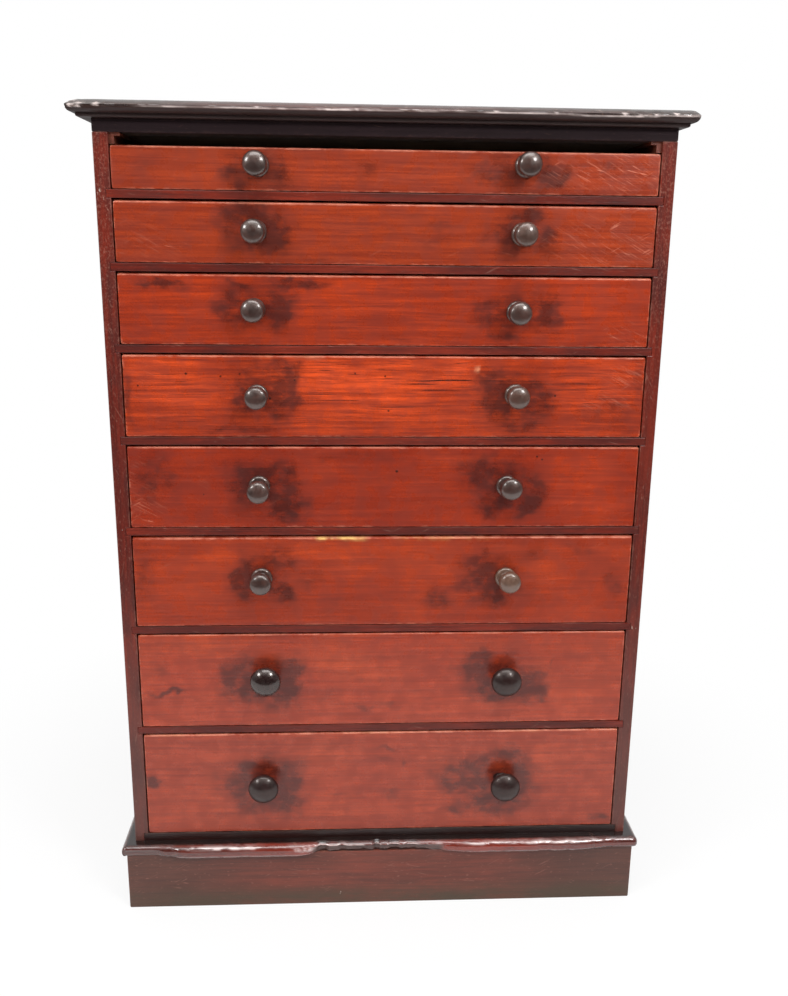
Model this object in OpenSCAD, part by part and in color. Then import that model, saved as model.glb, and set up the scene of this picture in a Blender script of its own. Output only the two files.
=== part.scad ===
// Collectors cabinet: a softwood case with eight graduated drawers, a moulded top and a plinth.
// X runs across the front, Y runs from the front to the back and Z is up. The origin lies on the
// floor, in the middle of the outline that the cabinet has with its knobs.

/* [Case] */
// Width of the case over its two side boards
case_w = 540; // [440:5:640]
// Depth of the case, from its front edges to its back
case_d = 400; // [320:5:480]
// Thickness of a side board
side_t = 14; // [12:0.5:20]
// Thickness of the board under the top
sub_top_t = 11.7; // [9:0.1:16]
// Thickness of the bottom board
bottom_t = 14; // [10:0.5:14]
// Height of the bottom board's edge that shows above the cap moulding
bottom_show = 8.5; // [6:0.5:12]
// Depth of the housings that are cut into the side boards
housing_d = 4.5; // [3:0.5:6]
// Hairline that glue fills between two pieces
glue_line = 0.1; // [0.05:0.05:0.2]

/* [Back] */
// Thickness of a back board
back_t = 8; // [6:0.5:10]
// Width of the rebate that the back boards lie in
rebate_w = 7; // [5:0.5:9]
// Number of back boards
back_count = 3; // [2:1:5]
// Width of the lap between two back boards
lap_w = 6; // [4:0.5:10]
// Gap between two back boards, which lets them swell
board_gap = 0.4; // [0.2:0.1:0.8]

/* [Top] */
// Overhang of the top board's nose beyond the case
top_over = 16.3; // [12:0.1:24]
// Height of the nose
nose_h = 11.5; // [11.5:0.5:16]
// Width of the rounding on the upper side of the nose
nose_in = 12; // [8:0.5:14]
// Drop of the rounding on the upper side of the nose
nose_drop = 7; // [4:0.5:7]
// Radius of the rounding under the nose
nose_low = 4.5; // [2:0.5:4.5]
// Overhang of the fillet below the nose
fillet_over = 7.8; // [4:0.1:9]
// Height of the fillet below the nose
fillet_h = 3.6; // [2:0.1:6]
// Radius of the fillet's lower edge
fillet_r = 1.6; // [0.5:0.1:1.8]

/* [Plinth] */
// Height of the plinth boards
plinth_h = 65.5; // [40:0.5:100]
// Thickness of a plinth board
plinth_t = 14; // [12:0.5:20]
// Distance that the plinth stands out from the case
plinth_out = 8.4; // [6:0.1:10]
// Height of the cap moulding on the plinth
cap_h = 12.3; // [11:0.1:15]
// Distance that the cap moulding stands out from the case
cap_out = 13.6; // [11:0.1:16]
// Width of the rounding on the upper side of the cap moulding
cap_in = 7; // [6:0.5:8]
// Drop of the rounding on the upper side of the cap moulding
cap_drop = 5.5; // [3:0.5:6]
// Radius of the rounding under the cap moulding
cap_low = 4.2; // [2:0.1:5]
// Width of the glue blocks inside the plinth
block_w = 22; // [16:1:30]
// Length of the glue blocks that lie along the plinth
block_l = 70; // [40:5:90]
// Height at which the glue blocks end above the floor
block_lift = 6; // [3:1:15]

/* [Drawer heights] */
// Height of the first drawer front, the top one
drawer_1_h = 38.4; // [34:0.1:60]
// Height of the second drawer front
drawer_2_h = 56.3; // [40:0.1:80]
// Height of the third drawer front
drawer_3_h = 66.8; // [40:0.1:90]
// Height of the fourth drawer front
drawer_4_h = 80.5; // [50:0.1:110]
// Height of the fifth drawer front
drawer_5_h = 83.5; // [50:0.1:110]
// Height of the sixth drawer front
drawer_6_h = 96.4; // [60:0.1:130]
// Height of the seventh drawer front
drawer_7_h = 104.2; // [60:0.1:140]
// Height of the eighth drawer front, the lowest one
drawer_8_h = 118.2; // [60:0.1:150]

/* [Drawer gaps] */
// Gap over a drawer front
over_gap = 1.2; // [0.6:0.1:2.5]
// Gap under a drawer front
under_gap = 0.6; // [0.4:0.1:1.5]
// Gap at each end of a drawer front
side_gap = 1.1; // [0.5:0.1:2]
// Clearance of a drawer's sides over what they run on
run_gap = 0.3; // [0.2:0.1:0.4]
// Height of the open slot above the first drawer
top_slot = 10.8; // [6:0.1:20]
// Distance that the drawer fronts lie behind the edges of the case
front_inset = 0.5; // [0:0.1:3]
// Free depth behind a closed drawer
rear_gap = 8; // [4:1:30]

/* [Drawer boards] */
// Thickness of a drawer front
front_t = 16; // [14:0.5:20]
// Thickness of a drawer's side boards
drawer_side_t = 8; // [7:0.5:11]
// Thickness of a drawer's back board
drawer_back_t = 8; // [6:0.5:10]
// Thickness of a drawer's bottom board
drawer_bottom_t = 5; // [4:0.5:6]
// Distance from a drawer front's top down to the tops of its sides
side_drop = 1.5; // [0.5:0.5:4]
// Distance from the tops of the sides down to the back's top
back_drop = 2; // [1:0.5:5]
// Depth of the grooves that hold a drawer's bottom
groove_d = 3; // [2:0.5:4]
// Height of the grooves above the lower edges of the sides
groove_up = 7; // [6.5:0.5:9]

/* [Dovetails] */
// Largest distance between the middles of two tails
tail_pitch = 30; // [24:1:45]
// Width of a pin at the shoulder line
pin_w = 8; // [5:0.5:10]
// Spread of a tail on each side for its length, such as one in six
tail_slope = 0.167; // [0.12:0.01:0.2]
// Thickness of wood that hides the tails in a drawer front
front_lap = 5; // [3:0.5:7]

/* [Rails and runners] */
// Thickness of a rail between two drawers
rail_t = 7.6; // [6:0.1:12]
// Depth of a rail from front to back
rail_d = 45; // [40:1:80]
// Width of a runner from the side board inwards
runner_w = 16; // [12:1:30]
// Width of the upright leg of a kicker above the first drawer
kicker_leg = 5; // [4:0.5:8]
// Width of the flange of a kicker, from the side board inwards
kicker_w = 10.4; // [9:0.1:16]
// Height of the flange of a kicker
kicker_flange = 3; // [2:0.5:5]
// Distance of a kicker's front end from the front of the case
kicker_set = 21; // [20:1:60]
// Clearance of a kicker over the first drawer's sides
kick_gap = 0.8; // [0.4:0.1:0.9]
// Width of a drawer stop across the front
stop_w = 26; // [16:1:50]
// Depth of a drawer stop from front to back
stop_d = 12; // [8:1:20]
// Height of a drawer stop
stop_h = 5; // [3:0.5:6]
// Distance of a drawer stop from the middle of the case
stop_x = 150; // [60:5:180]
// Clearance between a closed drawer front and its stops
stop_gap = 0.3; // [0.1:0.1:0.5]

/* [Knobs] */
// Distance of a knob from the middle of the case
knob_x = 125.5; // [90:0.5:180]
// Height of a knob above the middle of its drawer front
knob_rise = 2; // [-4:0.5:6]
// Radial clearance of a knob's spigot in the drawer front
spigot_gap = 0.05; // [0.02:0.01:0.1]
// Number of the first drawer that has the large knobs
large_from = 7; // [2:1:8]
// Distance from a small knob's foot to the top of its dome
small_reach = 27; // [26.5:0.5:30]
// Radius of a small knob's head
small_head_r = 11.3; // [9:0.1:14]
// Radius of the rounding at the rim of a small knob's head
small_rim_r = 5; // [4:0.1:5.8]
// Distance from a small knob's foot to the widest place of its head
small_wide_at = 20.5; // [19:0.5:21]
// Radius of a small knob's neck
small_neck_r = 6; // [5:0.1:8]
// Radius of the bead at a small knob's foot
small_bead_r = 11; // [8:0.1:13]
// Height of the bead at a small knob's foot
small_bead_h = 6; // [4:0.5:8]
// Distance from a large knob's foot to the top of its dome
large_reach = 25; // [23:0.5:34]
// Radius of a large knob's head
large_head_r = 16; // [13:0.1:20]
// Radius of the rounding at the rim of a large knob's head
large_rim_r = 5; // [3:0.1:5.5]
// Distance from a large knob's foot to the widest place of its head
large_wide_at = 15.5; // [14:0.5:17]
// Radius of a large knob's neck
large_neck_r = 7; // [5.5:0.1:8]
// Radius of the bead at a large knob's foot
large_bead_r = 9; // [8.2:0.1:12]
// Height of the bead at a large knob's foot
large_bead_h = 4; // [2:0.5:6]
// Taper under a knob's head, measured along the knob
head_taper = 3; // [1:0.5:4]
// Radius of a knob's spigot
spigot_r = 5; // [3:0.5:5]

/* [Hidden] */
$fn = 72;
CUT = 1; // how far a cutting shape runs past the face that it opens
ARRIS = 0.02; // how far a rounding's arc passes the faces that it joins, which leaves them in an arris
BITE = 1; // how far a tail runs back into its own board

WALNUT_BLACK = [0.14, 0.08, 0.07];
CASE_RED = [0.34, 0.12, 0.09];
FRONT_RED = [0.60, 0.22, 0.13];
KNOB_BROWN = [0.16, 0.10, 0.09];
PINE = [0.74, 0.58, 0.40];

half_w = case_w / 2;
inner_x = half_w - side_t;
housed_x = inner_x + housing_d - glue_line;
front_y = (max(top_over, small_reach - front_inset, large_reach - front_inset) - case_d) / 2;
back_y = front_y + case_d;
back_face_y = back_y - back_t;
plinth_x = half_w + plinth_out;
plinth_front_y = front_y - plinth_out;
cap_top = plinth_h + cap_h;
bottom_top = cap_top + bottom_show;
bottom_z = bottom_top - bottom_t;

heights = [
    drawer_1_h, drawer_2_h, drawer_3_h, drawer_4_h,
    drawer_5_h, drawer_6_h, drawer_7_h, drawer_8_h
];
LAST = len(heights);
front_w = case_w - 2 * side_t - 2 * side_gap;
drawer_d = case_d - back_t - rear_gap - front_inset;
side_low = run_gap - under_gap;
groove_z = side_low + groove_up;
drawer_floor = groove_z + drawer_bottom_t;
bottom_half_w = front_w / 2 - drawer_side_t + groove_d - glue_line;

// Height of drawer front n, and of the lower edge of drawer front n above the floor
function front_h(n) = heights[n - 1];
function front_z(n) =
    n == LAST ? bottom_top + under_gap
    : front_z(n + 1) + front_h(n + 1) + over_gap + rail_t + under_gap;
// Lower face of the rail under drawer n
function rail_z(n) = front_z(n) - under_gap - rail_t;
function side_top(n) = front_h(n) - side_drop;
function back_top(n) = side_top(n) - back_drop;
function is_large(n) = n >= large_from;
function knob_z(n) = front_h(n) / 2 + knob_rise;

case_top = front_z(1) + front_h(1) + top_slot;
side_h = case_top - plinth_h;
top_z = case_top + sub_top_t;

// A flat shape drawn in Y and Z, given a thickness along X
module along_x(thickness) {
    rotate([90, 0, 90])
        linear_extrude(thickness)
            children();
}

// A flat shape drawn in X and Z, given a length along Y
module along_y(length) {
    translate([0, length, 0])
        rotate([90, 0, 0])
            linear_extrude(length)
                children();
}

// A copy on each side of the middle plane
module both_sides() {
    children();
    mirror([1, 0, 0])
        children();
}

// What is cut from the upper arris of an edge that ends at x = 0: an arc that leaves the top face
// smoothly and meets the edge lower down
module upper_rounding(height, in, drop) {
    rise = drop + ARRIS;
    arc_r = (in * in + rise * rise) / (2 * rise);
    difference() {
        translate([-in, height - rise])
            square([in + CUT, rise + CUT]);
        translate([-in, height + ARRIS - arc_r])
            circle(arc_r);
    }
}

// What is cut from the lower arris of an edge that ends at x = 0: a quarter round
module lower_rounding(radius) {
    difference() {
        translate([-radius, -CUT])
            square([radius + CUT, radius + CUT]);
        translate([ARRIS - radius, radius - ARRIS])
            circle(radius);
    }
}

// Section of a moulded edge whose nose points along +x and ends at x = 0
module nosed_edge(length, height, in, drop, low) {
    difference() {
        translate([-length, 0])
            square([length, height]);
        upper_rounding(height, in, drop);
        lower_rounding(low);
    }
}

// Section of the top board's edge: the nose with the fillet below it
module top_edge(length) {
    fillet_in = top_over - fillet_over;
    translate([0, fillet_h])
        nosed_edge(length, nose_h, nose_in, nose_drop, nose_low);
    translate([-fillet_in, 0])
        difference() {
            translate([fillet_in - length, 0])
                square([length - fillet_in, fillet_h + nose_low]);
            lower_rounding(fillet_r);
        }
}

// The moulding runs along the front and both ends, and meets itself in mitres
module top_board() {
    color(WALNUT_BLACK)
        translate([0, 0, top_z])
            intersection() {
                translate([-half_w - top_over - CUT, front_y - top_over, 0])
                    along_x(case_w + 2 * top_over + 2 * CUT)
                        mirror([1, 0])
                            top_edge(case_d + top_over);
                translate([0, front_y - top_over - CUT, 0])
                    along_y(case_d + top_over + 2 * CUT) {
                        both_sides()
                            translate([half_w + top_over, 0])
                                top_edge(half_w + top_over);
                    }
            }
}

module sub_top() {
    color(WALNUT_BLACK)
        translate([-half_w, front_y, case_top])
            cube([case_w, case_d, sub_top_t]);
}

// A groove across the side board that takes a housed board of the given thickness
module housing(z, thickness) {
    translate([-inner_x - housing_d, front_y - CUT, z])
        cube([housing_d + CUT, case_d + 2 * CUT, thickness]);
}

module side_board() {
    difference() {
        translate([-half_w, front_y, plinth_h])
            cube([side_t, case_d, side_h]);
        for (n = [1:LAST - 1])
            housing(rail_z(n), rail_t);
        housing(bottom_z, bottom_t);
        translate([-inner_x - rebate_w, back_face_y, plinth_h - CUT])
            cube([rebate_w + CUT, back_t + CUT, side_h + 2 * CUT]);
    }
}

module side_left() {
    color(CASE_RED)
        side_board();
}

module side_right() {
    color(CASE_RED)
        mirror([1, 0, 0])
            side_board();
}

module bottom_board() {
    color(CASE_RED)
        translate([-housed_x, front_y, bottom_z])
            cube([2 * housed_x, case_d - back_t, bottom_t]);
}

module drawer_rails() {
    color(CASE_RED)
        for (n = [1:LAST - 1])
            translate([-housed_x, front_y, rail_z(n)])
                cube([2 * housed_x, rail_d, rail_t]);
}

// The runners of one side lie behind the rails, in the same housings
module side_runners() {
    for (n = [1:LAST - 1])
        translate([-housed_x, front_y + rail_d, rail_z(n)])
            cube([housed_x - inner_x + runner_w, case_d - back_t - rail_d, rail_t]);
}

module runners_left() {
    color(PINE)
        side_runners();
}

module runners_right() {
    color(PINE)
        mirror([1, 0, 0])
            side_runners();
}

// Two strips with an L section, which stop the first drawer from tipping
module kickers() {
    leg_z = front_z(1) + side_top(1) + kick_gap;
    kicker_y = front_y + kicker_set;
    kicker_l = back_face_y - kicker_y;
    color(PINE)
        both_sides()
            union() {
                translate([-inner_x, kicker_y, leg_z])
                    cube([kicker_leg, kicker_l, case_top - leg_z]);
                translate([-inner_x, kicker_y, case_top - kicker_flange])
                    cube([kicker_w, kicker_l, kicker_flange]);
            }
}

// Two stops behind each drawer front, glued on the rail or on the bottom board
module drawer_stops() {
    color(PINE)
        for (n = [1:LAST])
            both_sides()
                translate([
                    stop_x - stop_w / 2,
                    front_y + front_inset + front_t + stop_gap,
                    front_z(n) - under_gap
                ])
                    cube([stop_w, stop_d, stop_h]);
}

// Upright boards with half-lapped edges, nailed into the rebates. Each one has a tongue at its
// inner face on the left and a tongue at its outer face on the right
module back_boards() {
    end_x = inner_x + rebate_w - glue_line;
    board_w = 2 * end_x / back_count;
    half_lap = lap_w / 2;
    half_gap = board_gap / 2;
    tongue_t = back_t / 2;
    color(PINE)
        for (k = [0:back_count - 1]) {
            left_end = k == 0 ? 0 : half_lap + half_gap;
            right_end = k == back_count - 1 ? 0 : half_lap + half_gap;
            translate([k * board_w - end_x, back_face_y, plinth_h])
                linear_extrude(side_h) {
                    translate([left_end, 0])
                        square([board_w - left_end - right_end, back_t]);
                    if (k > 0)
                        translate([half_gap - half_lap, 0])
                            square([lap_w + BITE, tongue_t - glue_line]);
                    if (k < back_count - 1)
                        translate([board_w - right_end - BITE, tongue_t])
                            square([lap_w + BITE, tongue_t]);
                }
        }
}

// The front board and the two returns are mitred, and the back board stands between the returns
module plinth_front() {
    inside_x = plinth_x - plinth_t;
    inside_y = plinth_front_y + plinth_t;
    color(CASE_RED)
        linear_extrude(plinth_h)
            polygon([
                [-plinth_x, plinth_front_y],
                [plinth_x, plinth_front_y],
                [inside_x, inside_y],
                [-inside_x, inside_y]
            ]);
}

module plinth_return() {
    inside_x = plinth_x - plinth_t;
    inside_y = plinth_front_y + plinth_t;
    linear_extrude(plinth_h)
        polygon([
            [-plinth_x, plinth_front_y],
            [-inside_x, inside_y],
            [-inside_x, back_y],
            [-plinth_x, back_y]
        ]);
}

module plinth_left() {
    color(CASE_RED)
        plinth_return();
}

module plinth_right() {
    color(CASE_RED)
        mirror([1, 0, 0])
            plinth_return();
}

module plinth_back() {
    inside_x = plinth_x - plinth_t - glue_line;
    color(PINE)
        translate([-inside_x, back_y - plinth_t, 0])
            cube([2 * inside_x, plinth_t, plinth_h]);
}

// Corner blocks and side blocks carry the side boards, and the front and back blocks carry the
// bottom board
module plinth_blocks() {
    inside_x = plinth_x - plinth_t - glue_line;
    inside_front = plinth_front_y + plinth_t + glue_line;
    inside_back = back_y - plinth_t - glue_line;
    side_block_h = plinth_h - block_lift;
    board_block_h = bottom_z - block_lift;
    middle_y = (inside_front + inside_back) / 2;
    color(PINE)
        translate([0, 0, block_lift]) {
            both_sides() {
                linear_extrude(side_block_h)
                    polygon([
                        [inside_x, inside_front],
                        [inside_x - block_w, inside_front],
                        [inside_x, inside_front + block_w]
                    ]);
                linear_extrude(side_block_h)
                    polygon([
                        [inside_x, inside_back],
                        [inside_x, inside_back - block_w],
                        [inside_x - block_w, inside_back]
                    ]);
                translate([inside_x - block_w, middle_y - block_l / 2, 0])
                    cube([block_w, block_l, side_block_h]);
            }
            translate([-block_l / 2, inside_front, 0])
                cube([block_l, block_w, board_block_h]);
            translate([-block_l / 2, inside_back - block_w, 0])
                cube([block_l, block_w, board_block_h]);
        }
}

// Section of the cap moulding with its nose along +x, and its back at x = 0
module cap_section() {
    translate([cap_out, plinth_h])
        nosed_edge(cap_out, cap_h, cap_in, cap_drop, cap_low);
}

module cap_front() {
    color(CASE_RED)
        intersection() {
            translate([-half_w - cap_out, front_y, 0])
                along_x(case_w + 2 * cap_out)
                    mirror([1, 0])
                        cap_section();
            linear_extrude(cap_top + CUT)
                polygon([
                    [-half_w - cap_out, front_y - cap_out],
                    [half_w + cap_out, front_y - cap_out],
                    [half_w, front_y],
                    [-half_w, front_y]
                ]);
        }
}

module cap_return() {
    intersection() {
        translate([half_w, front_y - cap_out, 0])
            along_y(case_d + cap_out)
                cap_section();
        linear_extrude(cap_top + CUT)
            polygon([
                [half_w, front_y],
                [half_w + cap_out, front_y - cap_out],
                [half_w + cap_out, back_y],
                [half_w, back_y]
            ]);
    }
}

module cap_left() {
    color(CASE_RED)
        mirror([1, 0, 0])
            cap_return();
}

module cap_right() {
    color(CASE_RED)
        cap_return();
}

// Moves a piece from a drawer's own place, where y = 0 is the face of its front and z = 0 is the
// lower edge of its front, to its place in the case
module in_case(n) {
    translate([0, front_y + front_inset, front_z(n)])
        children();
}

// Outline of the tails that leave the shoulder line at root_y and end at tip_y, spread over the
// height h above z. Grown a little, it is the outline of their sockets
module tails(z, h, root_y, tip_y, grow = 0) {
    count = ceil(h / tail_pitch);
    pitch = h / count;
    way = sign(tip_y - root_y);
    end_y = tip_y + way * grow;
    root = (pitch - pin_w) / 2 + grow;
    tip = root + abs(end_y - root_y) * tail_slope;
    for (k = [0:count - 1])
        translate([0, z + (k + 0.5) * pitch])
            polygon([
                [root_y - way * BITE, -root],
                [root_y, -root],
                [end_y, -tip],
                [end_y, tip],
                [root_y, root],
                [root_y - way * BITE, root]
            ]);
}

module front_tails(n, grow = 0) {
    tails(0, side_top(n), front_t, front_lap, grow);
}

module back_tails(n, grow = 0) {
    tails(drawer_floor, back_top(n) - drawer_floor, drawer_d - drawer_back_t, drawer_d, grow);
}

module knob_hole(n, x) {
    translate([x, -CUT, knob_z(n)])
        rotate([-90, 0, 0])
            cylinder(h = front_t + 2 * CUT, r = spigot_r + spigot_gap);
}

// The front hides the tails behind its lap, and holds the bottom's front edge in a groove
module drawer_front(n) {
    color(FRONT_RED)
        in_case(n)
            difference() {
                translate([-front_w / 2, 0, 0])
                    cube([front_w, front_t, front_h(n)]);
                both_sides()
                    translate([-front_w / 2 - CUT, 0, 0])
                        along_x(drawer_side_t + glue_line + CUT)
                            front_tails(n, glue_line);
                translate([-bottom_half_w - glue_line, front_t - groove_d, groove_z])
                    cube([2 * (bottom_half_w + glue_line), groove_d + CUT, drawer_bottom_t + glue_line]);
                knob_hole(n, -knob_x);
                knob_hole(n, knob_x);
            }
}

// Outline of a drawer side in Y and Z: the board between its shoulders, the tails at both ends,
// and the strips that run past the back's lower and upper edges
module side_outline(n) {
    shoulder_y = drawer_d - drawer_back_t;
    translate([front_t, side_low])
        square([shoulder_y - front_t, side_top(n) - side_low]);
    front_tails(n);
    back_tails(n);
    translate([shoulder_y - BITE, side_low])
        square([drawer_back_t + BITE, drawer_floor - side_low]);
    translate([shoulder_y - BITE, back_top(n)])
        square([drawer_back_t + BITE, back_drop]);
}

module drawer_sides(n) {
    color(PINE)
        in_case(n)
            both_sides()
                difference() {
                    translate([-front_w / 2, 0, 0])
                        along_x(drawer_side_t)
                            side_outline(n);
                    translate([-bottom_half_w - glue_line, 0, groove_z])
                        cube([groove_d + CUT, drawer_d + CUT, drawer_bottom_t + glue_line]);
                }
}

// The back stands on the bottom board, and its pins show between the tails
module drawer_back(n) {
    color(PINE)
        in_case(n)
            difference() {
                translate([-front_w / 2, drawer_d - drawer_back_t, drawer_floor])
                    cube([front_w, drawer_back_t, back_top(n) - drawer_floor]);
                both_sides()
                    translate([-front_w / 2 - CUT, 0, 0])
                        along_x(drawer_side_t + glue_line + CUT)
                            back_tails(n, glue_line);
            }
}

module drawer_bottom(n) {
    bottom_y = front_t - groove_d + glue_line;
    color(PINE)
        in_case(n)
            translate([-bottom_half_w, bottom_y, groove_z])
                cube([2 * bottom_half_w, drawer_d - bottom_y, drawer_bottom_t]);
}

// Half section of a turned knob, with its foot at y = 0 and its radius along x. The dome is an arc
// that runs smoothly into the round of the rim where both pass meet_x, meet_y
module knob_section(reach, head_r, rim_r, wide_at, neck_r, bead_r, bead_h) {
    rim_x = head_r - rim_r;
    rise = reach - wide_at;
    dome_r = (rim_x * rim_x + rise * rise - rim_r * rim_r) / (2 * (rise - rim_r));
    dome_y = reach - dome_r;
    meet = dome_r / (dome_r - rim_r);
    meet_x = meet * rim_x;
    meet_y = dome_y + meet * (wide_at - dome_y);
    under_y = wide_at - rim_r;
    under_x = max(neck_r, rim_x);
    translate([0, -front_t])
        square([spigot_r, front_t + CUT]);
    square([bead_r - bead_h / 2, bead_h]);
    translate([bead_r - bead_h / 2, bead_h / 2])
        circle(bead_h / 2);
    polygon([
        [0, 0],
        [neck_r, 0],
        [neck_r, under_y - head_taper],
        [under_x, under_y],
        [rim_x, wide_at],
        [0, wide_at]
    ]);
    intersection() {
        translate([rim_x, wide_at])
            circle(rim_r);
        square([head_r + CUT, reach]);
    }
    polygon([[0, under_y], [rim_x, under_y], [meet_x, meet_y], [0, meet_y]]);
    intersection() {
        translate([0, dome_y])
            circle(dome_r);
        translate([0, meet_y - glue_line])
            square([meet_x, reach]);
    }
}

module turned_knob(n) {
    rotate([90, 0, 0])
        rotate_extrude()
            if (is_large(n))
                knob_section(
                    large_reach, large_head_r, large_rim_r, large_wide_at,
                    large_neck_r, large_bead_r, large_bead_h
                );
            else
                knob_section(
                    small_reach, small_head_r, small_rim_r, small_wide_at,
                    small_neck_r, small_bead_r, small_bead_h
                );
}

module drawer_knobs(n) {
    color(KNOB_BROWN)
        in_case(n)
            for (x = [-knob_x, knob_x])
                translate([x, 0, knob_z(n)])
                    turned_knob(n);
}

top_board();
sub_top();
side_left();
side_right();
bottom_board();
drawer_rails();
runners_left();
runners_right();
kickers();
drawer_stops();
back_boards();
plinth_front();
plinth_left();
plinth_right();
plinth_back();
plinth_blocks();
cap_front();
cap_left();
cap_right();
for (n = [1:LAST]) {
    drawer_front(n);
    drawer_sides(n);
    drawer_back(n);
    drawer_bottom(n);
    drawer_knobs(n);
}
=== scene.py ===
"""Visual model of a collectors cabinet: red-stained softwood, worn by many years of use.

Positions are in metres in the row frame. Small sizes are written in millimetres, times MM.
"""

import logging
import math
from dataclasses import dataclass, field
from enum import Enum

import bmesh
import bpy
import numpy as np
from mathutils import Matrix, Vector


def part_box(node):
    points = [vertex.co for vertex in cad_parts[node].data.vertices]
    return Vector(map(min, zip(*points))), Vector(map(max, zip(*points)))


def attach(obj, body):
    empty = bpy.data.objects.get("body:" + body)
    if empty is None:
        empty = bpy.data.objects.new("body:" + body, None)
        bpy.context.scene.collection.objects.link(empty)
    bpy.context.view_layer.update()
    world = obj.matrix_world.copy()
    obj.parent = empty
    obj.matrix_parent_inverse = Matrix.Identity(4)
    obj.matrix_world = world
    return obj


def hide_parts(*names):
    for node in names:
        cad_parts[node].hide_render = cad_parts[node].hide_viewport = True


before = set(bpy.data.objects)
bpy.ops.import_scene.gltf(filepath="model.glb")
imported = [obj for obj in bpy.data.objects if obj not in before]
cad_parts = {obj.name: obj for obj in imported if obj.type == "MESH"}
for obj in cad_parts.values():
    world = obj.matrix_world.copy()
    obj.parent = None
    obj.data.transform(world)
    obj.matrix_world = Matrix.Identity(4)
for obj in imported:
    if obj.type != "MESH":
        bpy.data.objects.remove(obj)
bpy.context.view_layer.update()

LOG = logging.getLogger("cabinet")
MM = 0.001
DRAWERS = 8
FIRST_LARGE = 7
KNOB_X = 125.5
SHARP_ANGLE = math.radians(35)
SAME_PLACE = 2e-6

Colour = tuple[float, float, float]
Pair = tuple[float, float]
Break = tuple[float, float, float]
Nick = tuple[float, float, float, float]
Patch = tuple[float, float, float, float, float]
Socket = bpy.types.NodeSocket
Number = Socket | float
Given = Socket | float | tuple[float, ...]


def srgb(red: int, green: int, blue: int) -> Colour:
    """Linear colour by the sRGB curve.

    Args:
        red: Display value of 0 to 255.
        green: Display value of 0 to 255.
        blue: Display value of 0 to 255.

    Returns:
        Three values of 0 to 1.
    """

    def linear(level: float) -> float:
        """One channel, from 0 to 1."""
        return level / 12.92 if level <= 0.04045 else ((level + 0.055) / 1.055) ** 2.4

    return linear(red / 255), linear(green / 255), linear(blue / 255)


# Noise on arrays of points


def lattice_values(cells: np.ndarray, seed: int) -> np.ndarray:
    """Repeatable values from 0 to 1 for whole-numbered cells.

    A cell's numbers are multiplied by large odd numbers, added, and mixed by shifts.

    Args:
        cells: Whole numbers, shape (..., dimensions).
        seed: Chooses one of many patterns.

    Returns:
        Values of shape (...).
    """
    factors = np.array([73856093, 19349663, 83492791], np.uint64)[: cells.shape[-1]]
    mixed = (cells.astype(np.int64).astype(np.uint64) * factors).sum(-1)
    mixed = mixed + np.uint64(seed * 2654435761 % 2**32)
    for shift, factor in ((13, 1274126177), (16, 2246822519)):
        mixed = (mixed ^ (mixed >> np.uint64(shift))) * np.uint64(factor) & np.uint64(0xFFFFFFFF)
    return (mixed >> np.uint64(8)) / float(0xFFFFFF)


def value_noise(points: np.ndarray, seed: int) -> np.ndarray:
    """Smooth noise from 0 to 1: cell corners blended by 3t^2 - 2t^3 along each axis.

    Args:
        points: Positions in cells, shape (..., dimensions).
        seed: Chooses one of many patterns.

    Returns:
        Values of shape (...).
    """
    base = np.floor(points)
    part = points - base
    part = part * part * (3 - 2 * part)
    total = np.zeros(points.shape[:-1])
    for corner in np.ndindex(*(2,) * points.shape[-1]):
        step = np.array(corner)
        weight = np.where(step == 1, part, 1 - part).prod(-1)
        total += weight * lattice_values(base + step, seed)
    return total


def fractal_noise(points: np.ndarray, seed: int, octaves: int = 3) -> np.ndarray:
    """Noise from 0 to 1 summed over octaves, each half as strong and twice as fine.

    Args:
        points: Positions in cells of the first octave, shape (..., dimensions).
        seed: Chooses one of many patterns.
        octaves: How many are summed.

    Returns:
        Values of shape (...).
    """
    total, reach = np.zeros(points.shape[:-1]), 0.0
    for octave in range(octaves):
        strength = 0.5**octave
        total += strength * value_noise(points * 2**octave, seed + octave)
        reach += strength
    return total / reach


def smooth(value: np.ndarray) -> np.ndarray:
    """A smooth step: 3t^2 - 2t^3 of the value clipped to 0 and 1."""
    t = np.clip(value, 0, 1)
    return t * t * (3 - 2 * t)


def hump(value: np.ndarray, middle: float | np.ndarray, width: float, power: int = 2) -> np.ndarray:
    """A hump of height 1: exp(-((value - middle) / width)^power)."""
    return np.exp(-(((value - middle) / width) ** power))


def coverage(places: np.ndarray, patches: tuple[Patch, ...], seed: int) -> np.ndarray:
    """How much soft patches cover each place of a board's face, from 0 to 1.

    The product of what each patch leaves free is taken from 1. A patch covers
    strength * exp(-distance^2.4), with the distance in half widths from its middle. Noise moves
    the places first, which makes the outlines ragged.

    Args:
        places: Distances across and up in millimetres, shape (n, 2).
        patches: Middle across, middle up, half width, half height and strength of each.
        seed: Chooses the ragged outlines.

    Returns:
        Values of shape (n,).
    """
    shift = np.stack([fractal_noise(places / 17, seed + 40 * k, 4) - 0.5 for k in (1, 2)], -1)
    moved = places + shift * (26, 20)
    free = np.ones(len(places))
    for x, z, half_x, half_z, strength in patches:
        distance = np.hypot((moved[:, 0] - x) / half_x, (moved[:, 1] - z) / half_z)
        free *= 1 - strength * np.exp(-(distance**2.4))
    mottle = fractal_noise(places / 9, seed + 7, 3)
    return np.clip((1 - free) * (0.65 + 0.7 * mottle), 0, 1)


# Meshes


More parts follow.
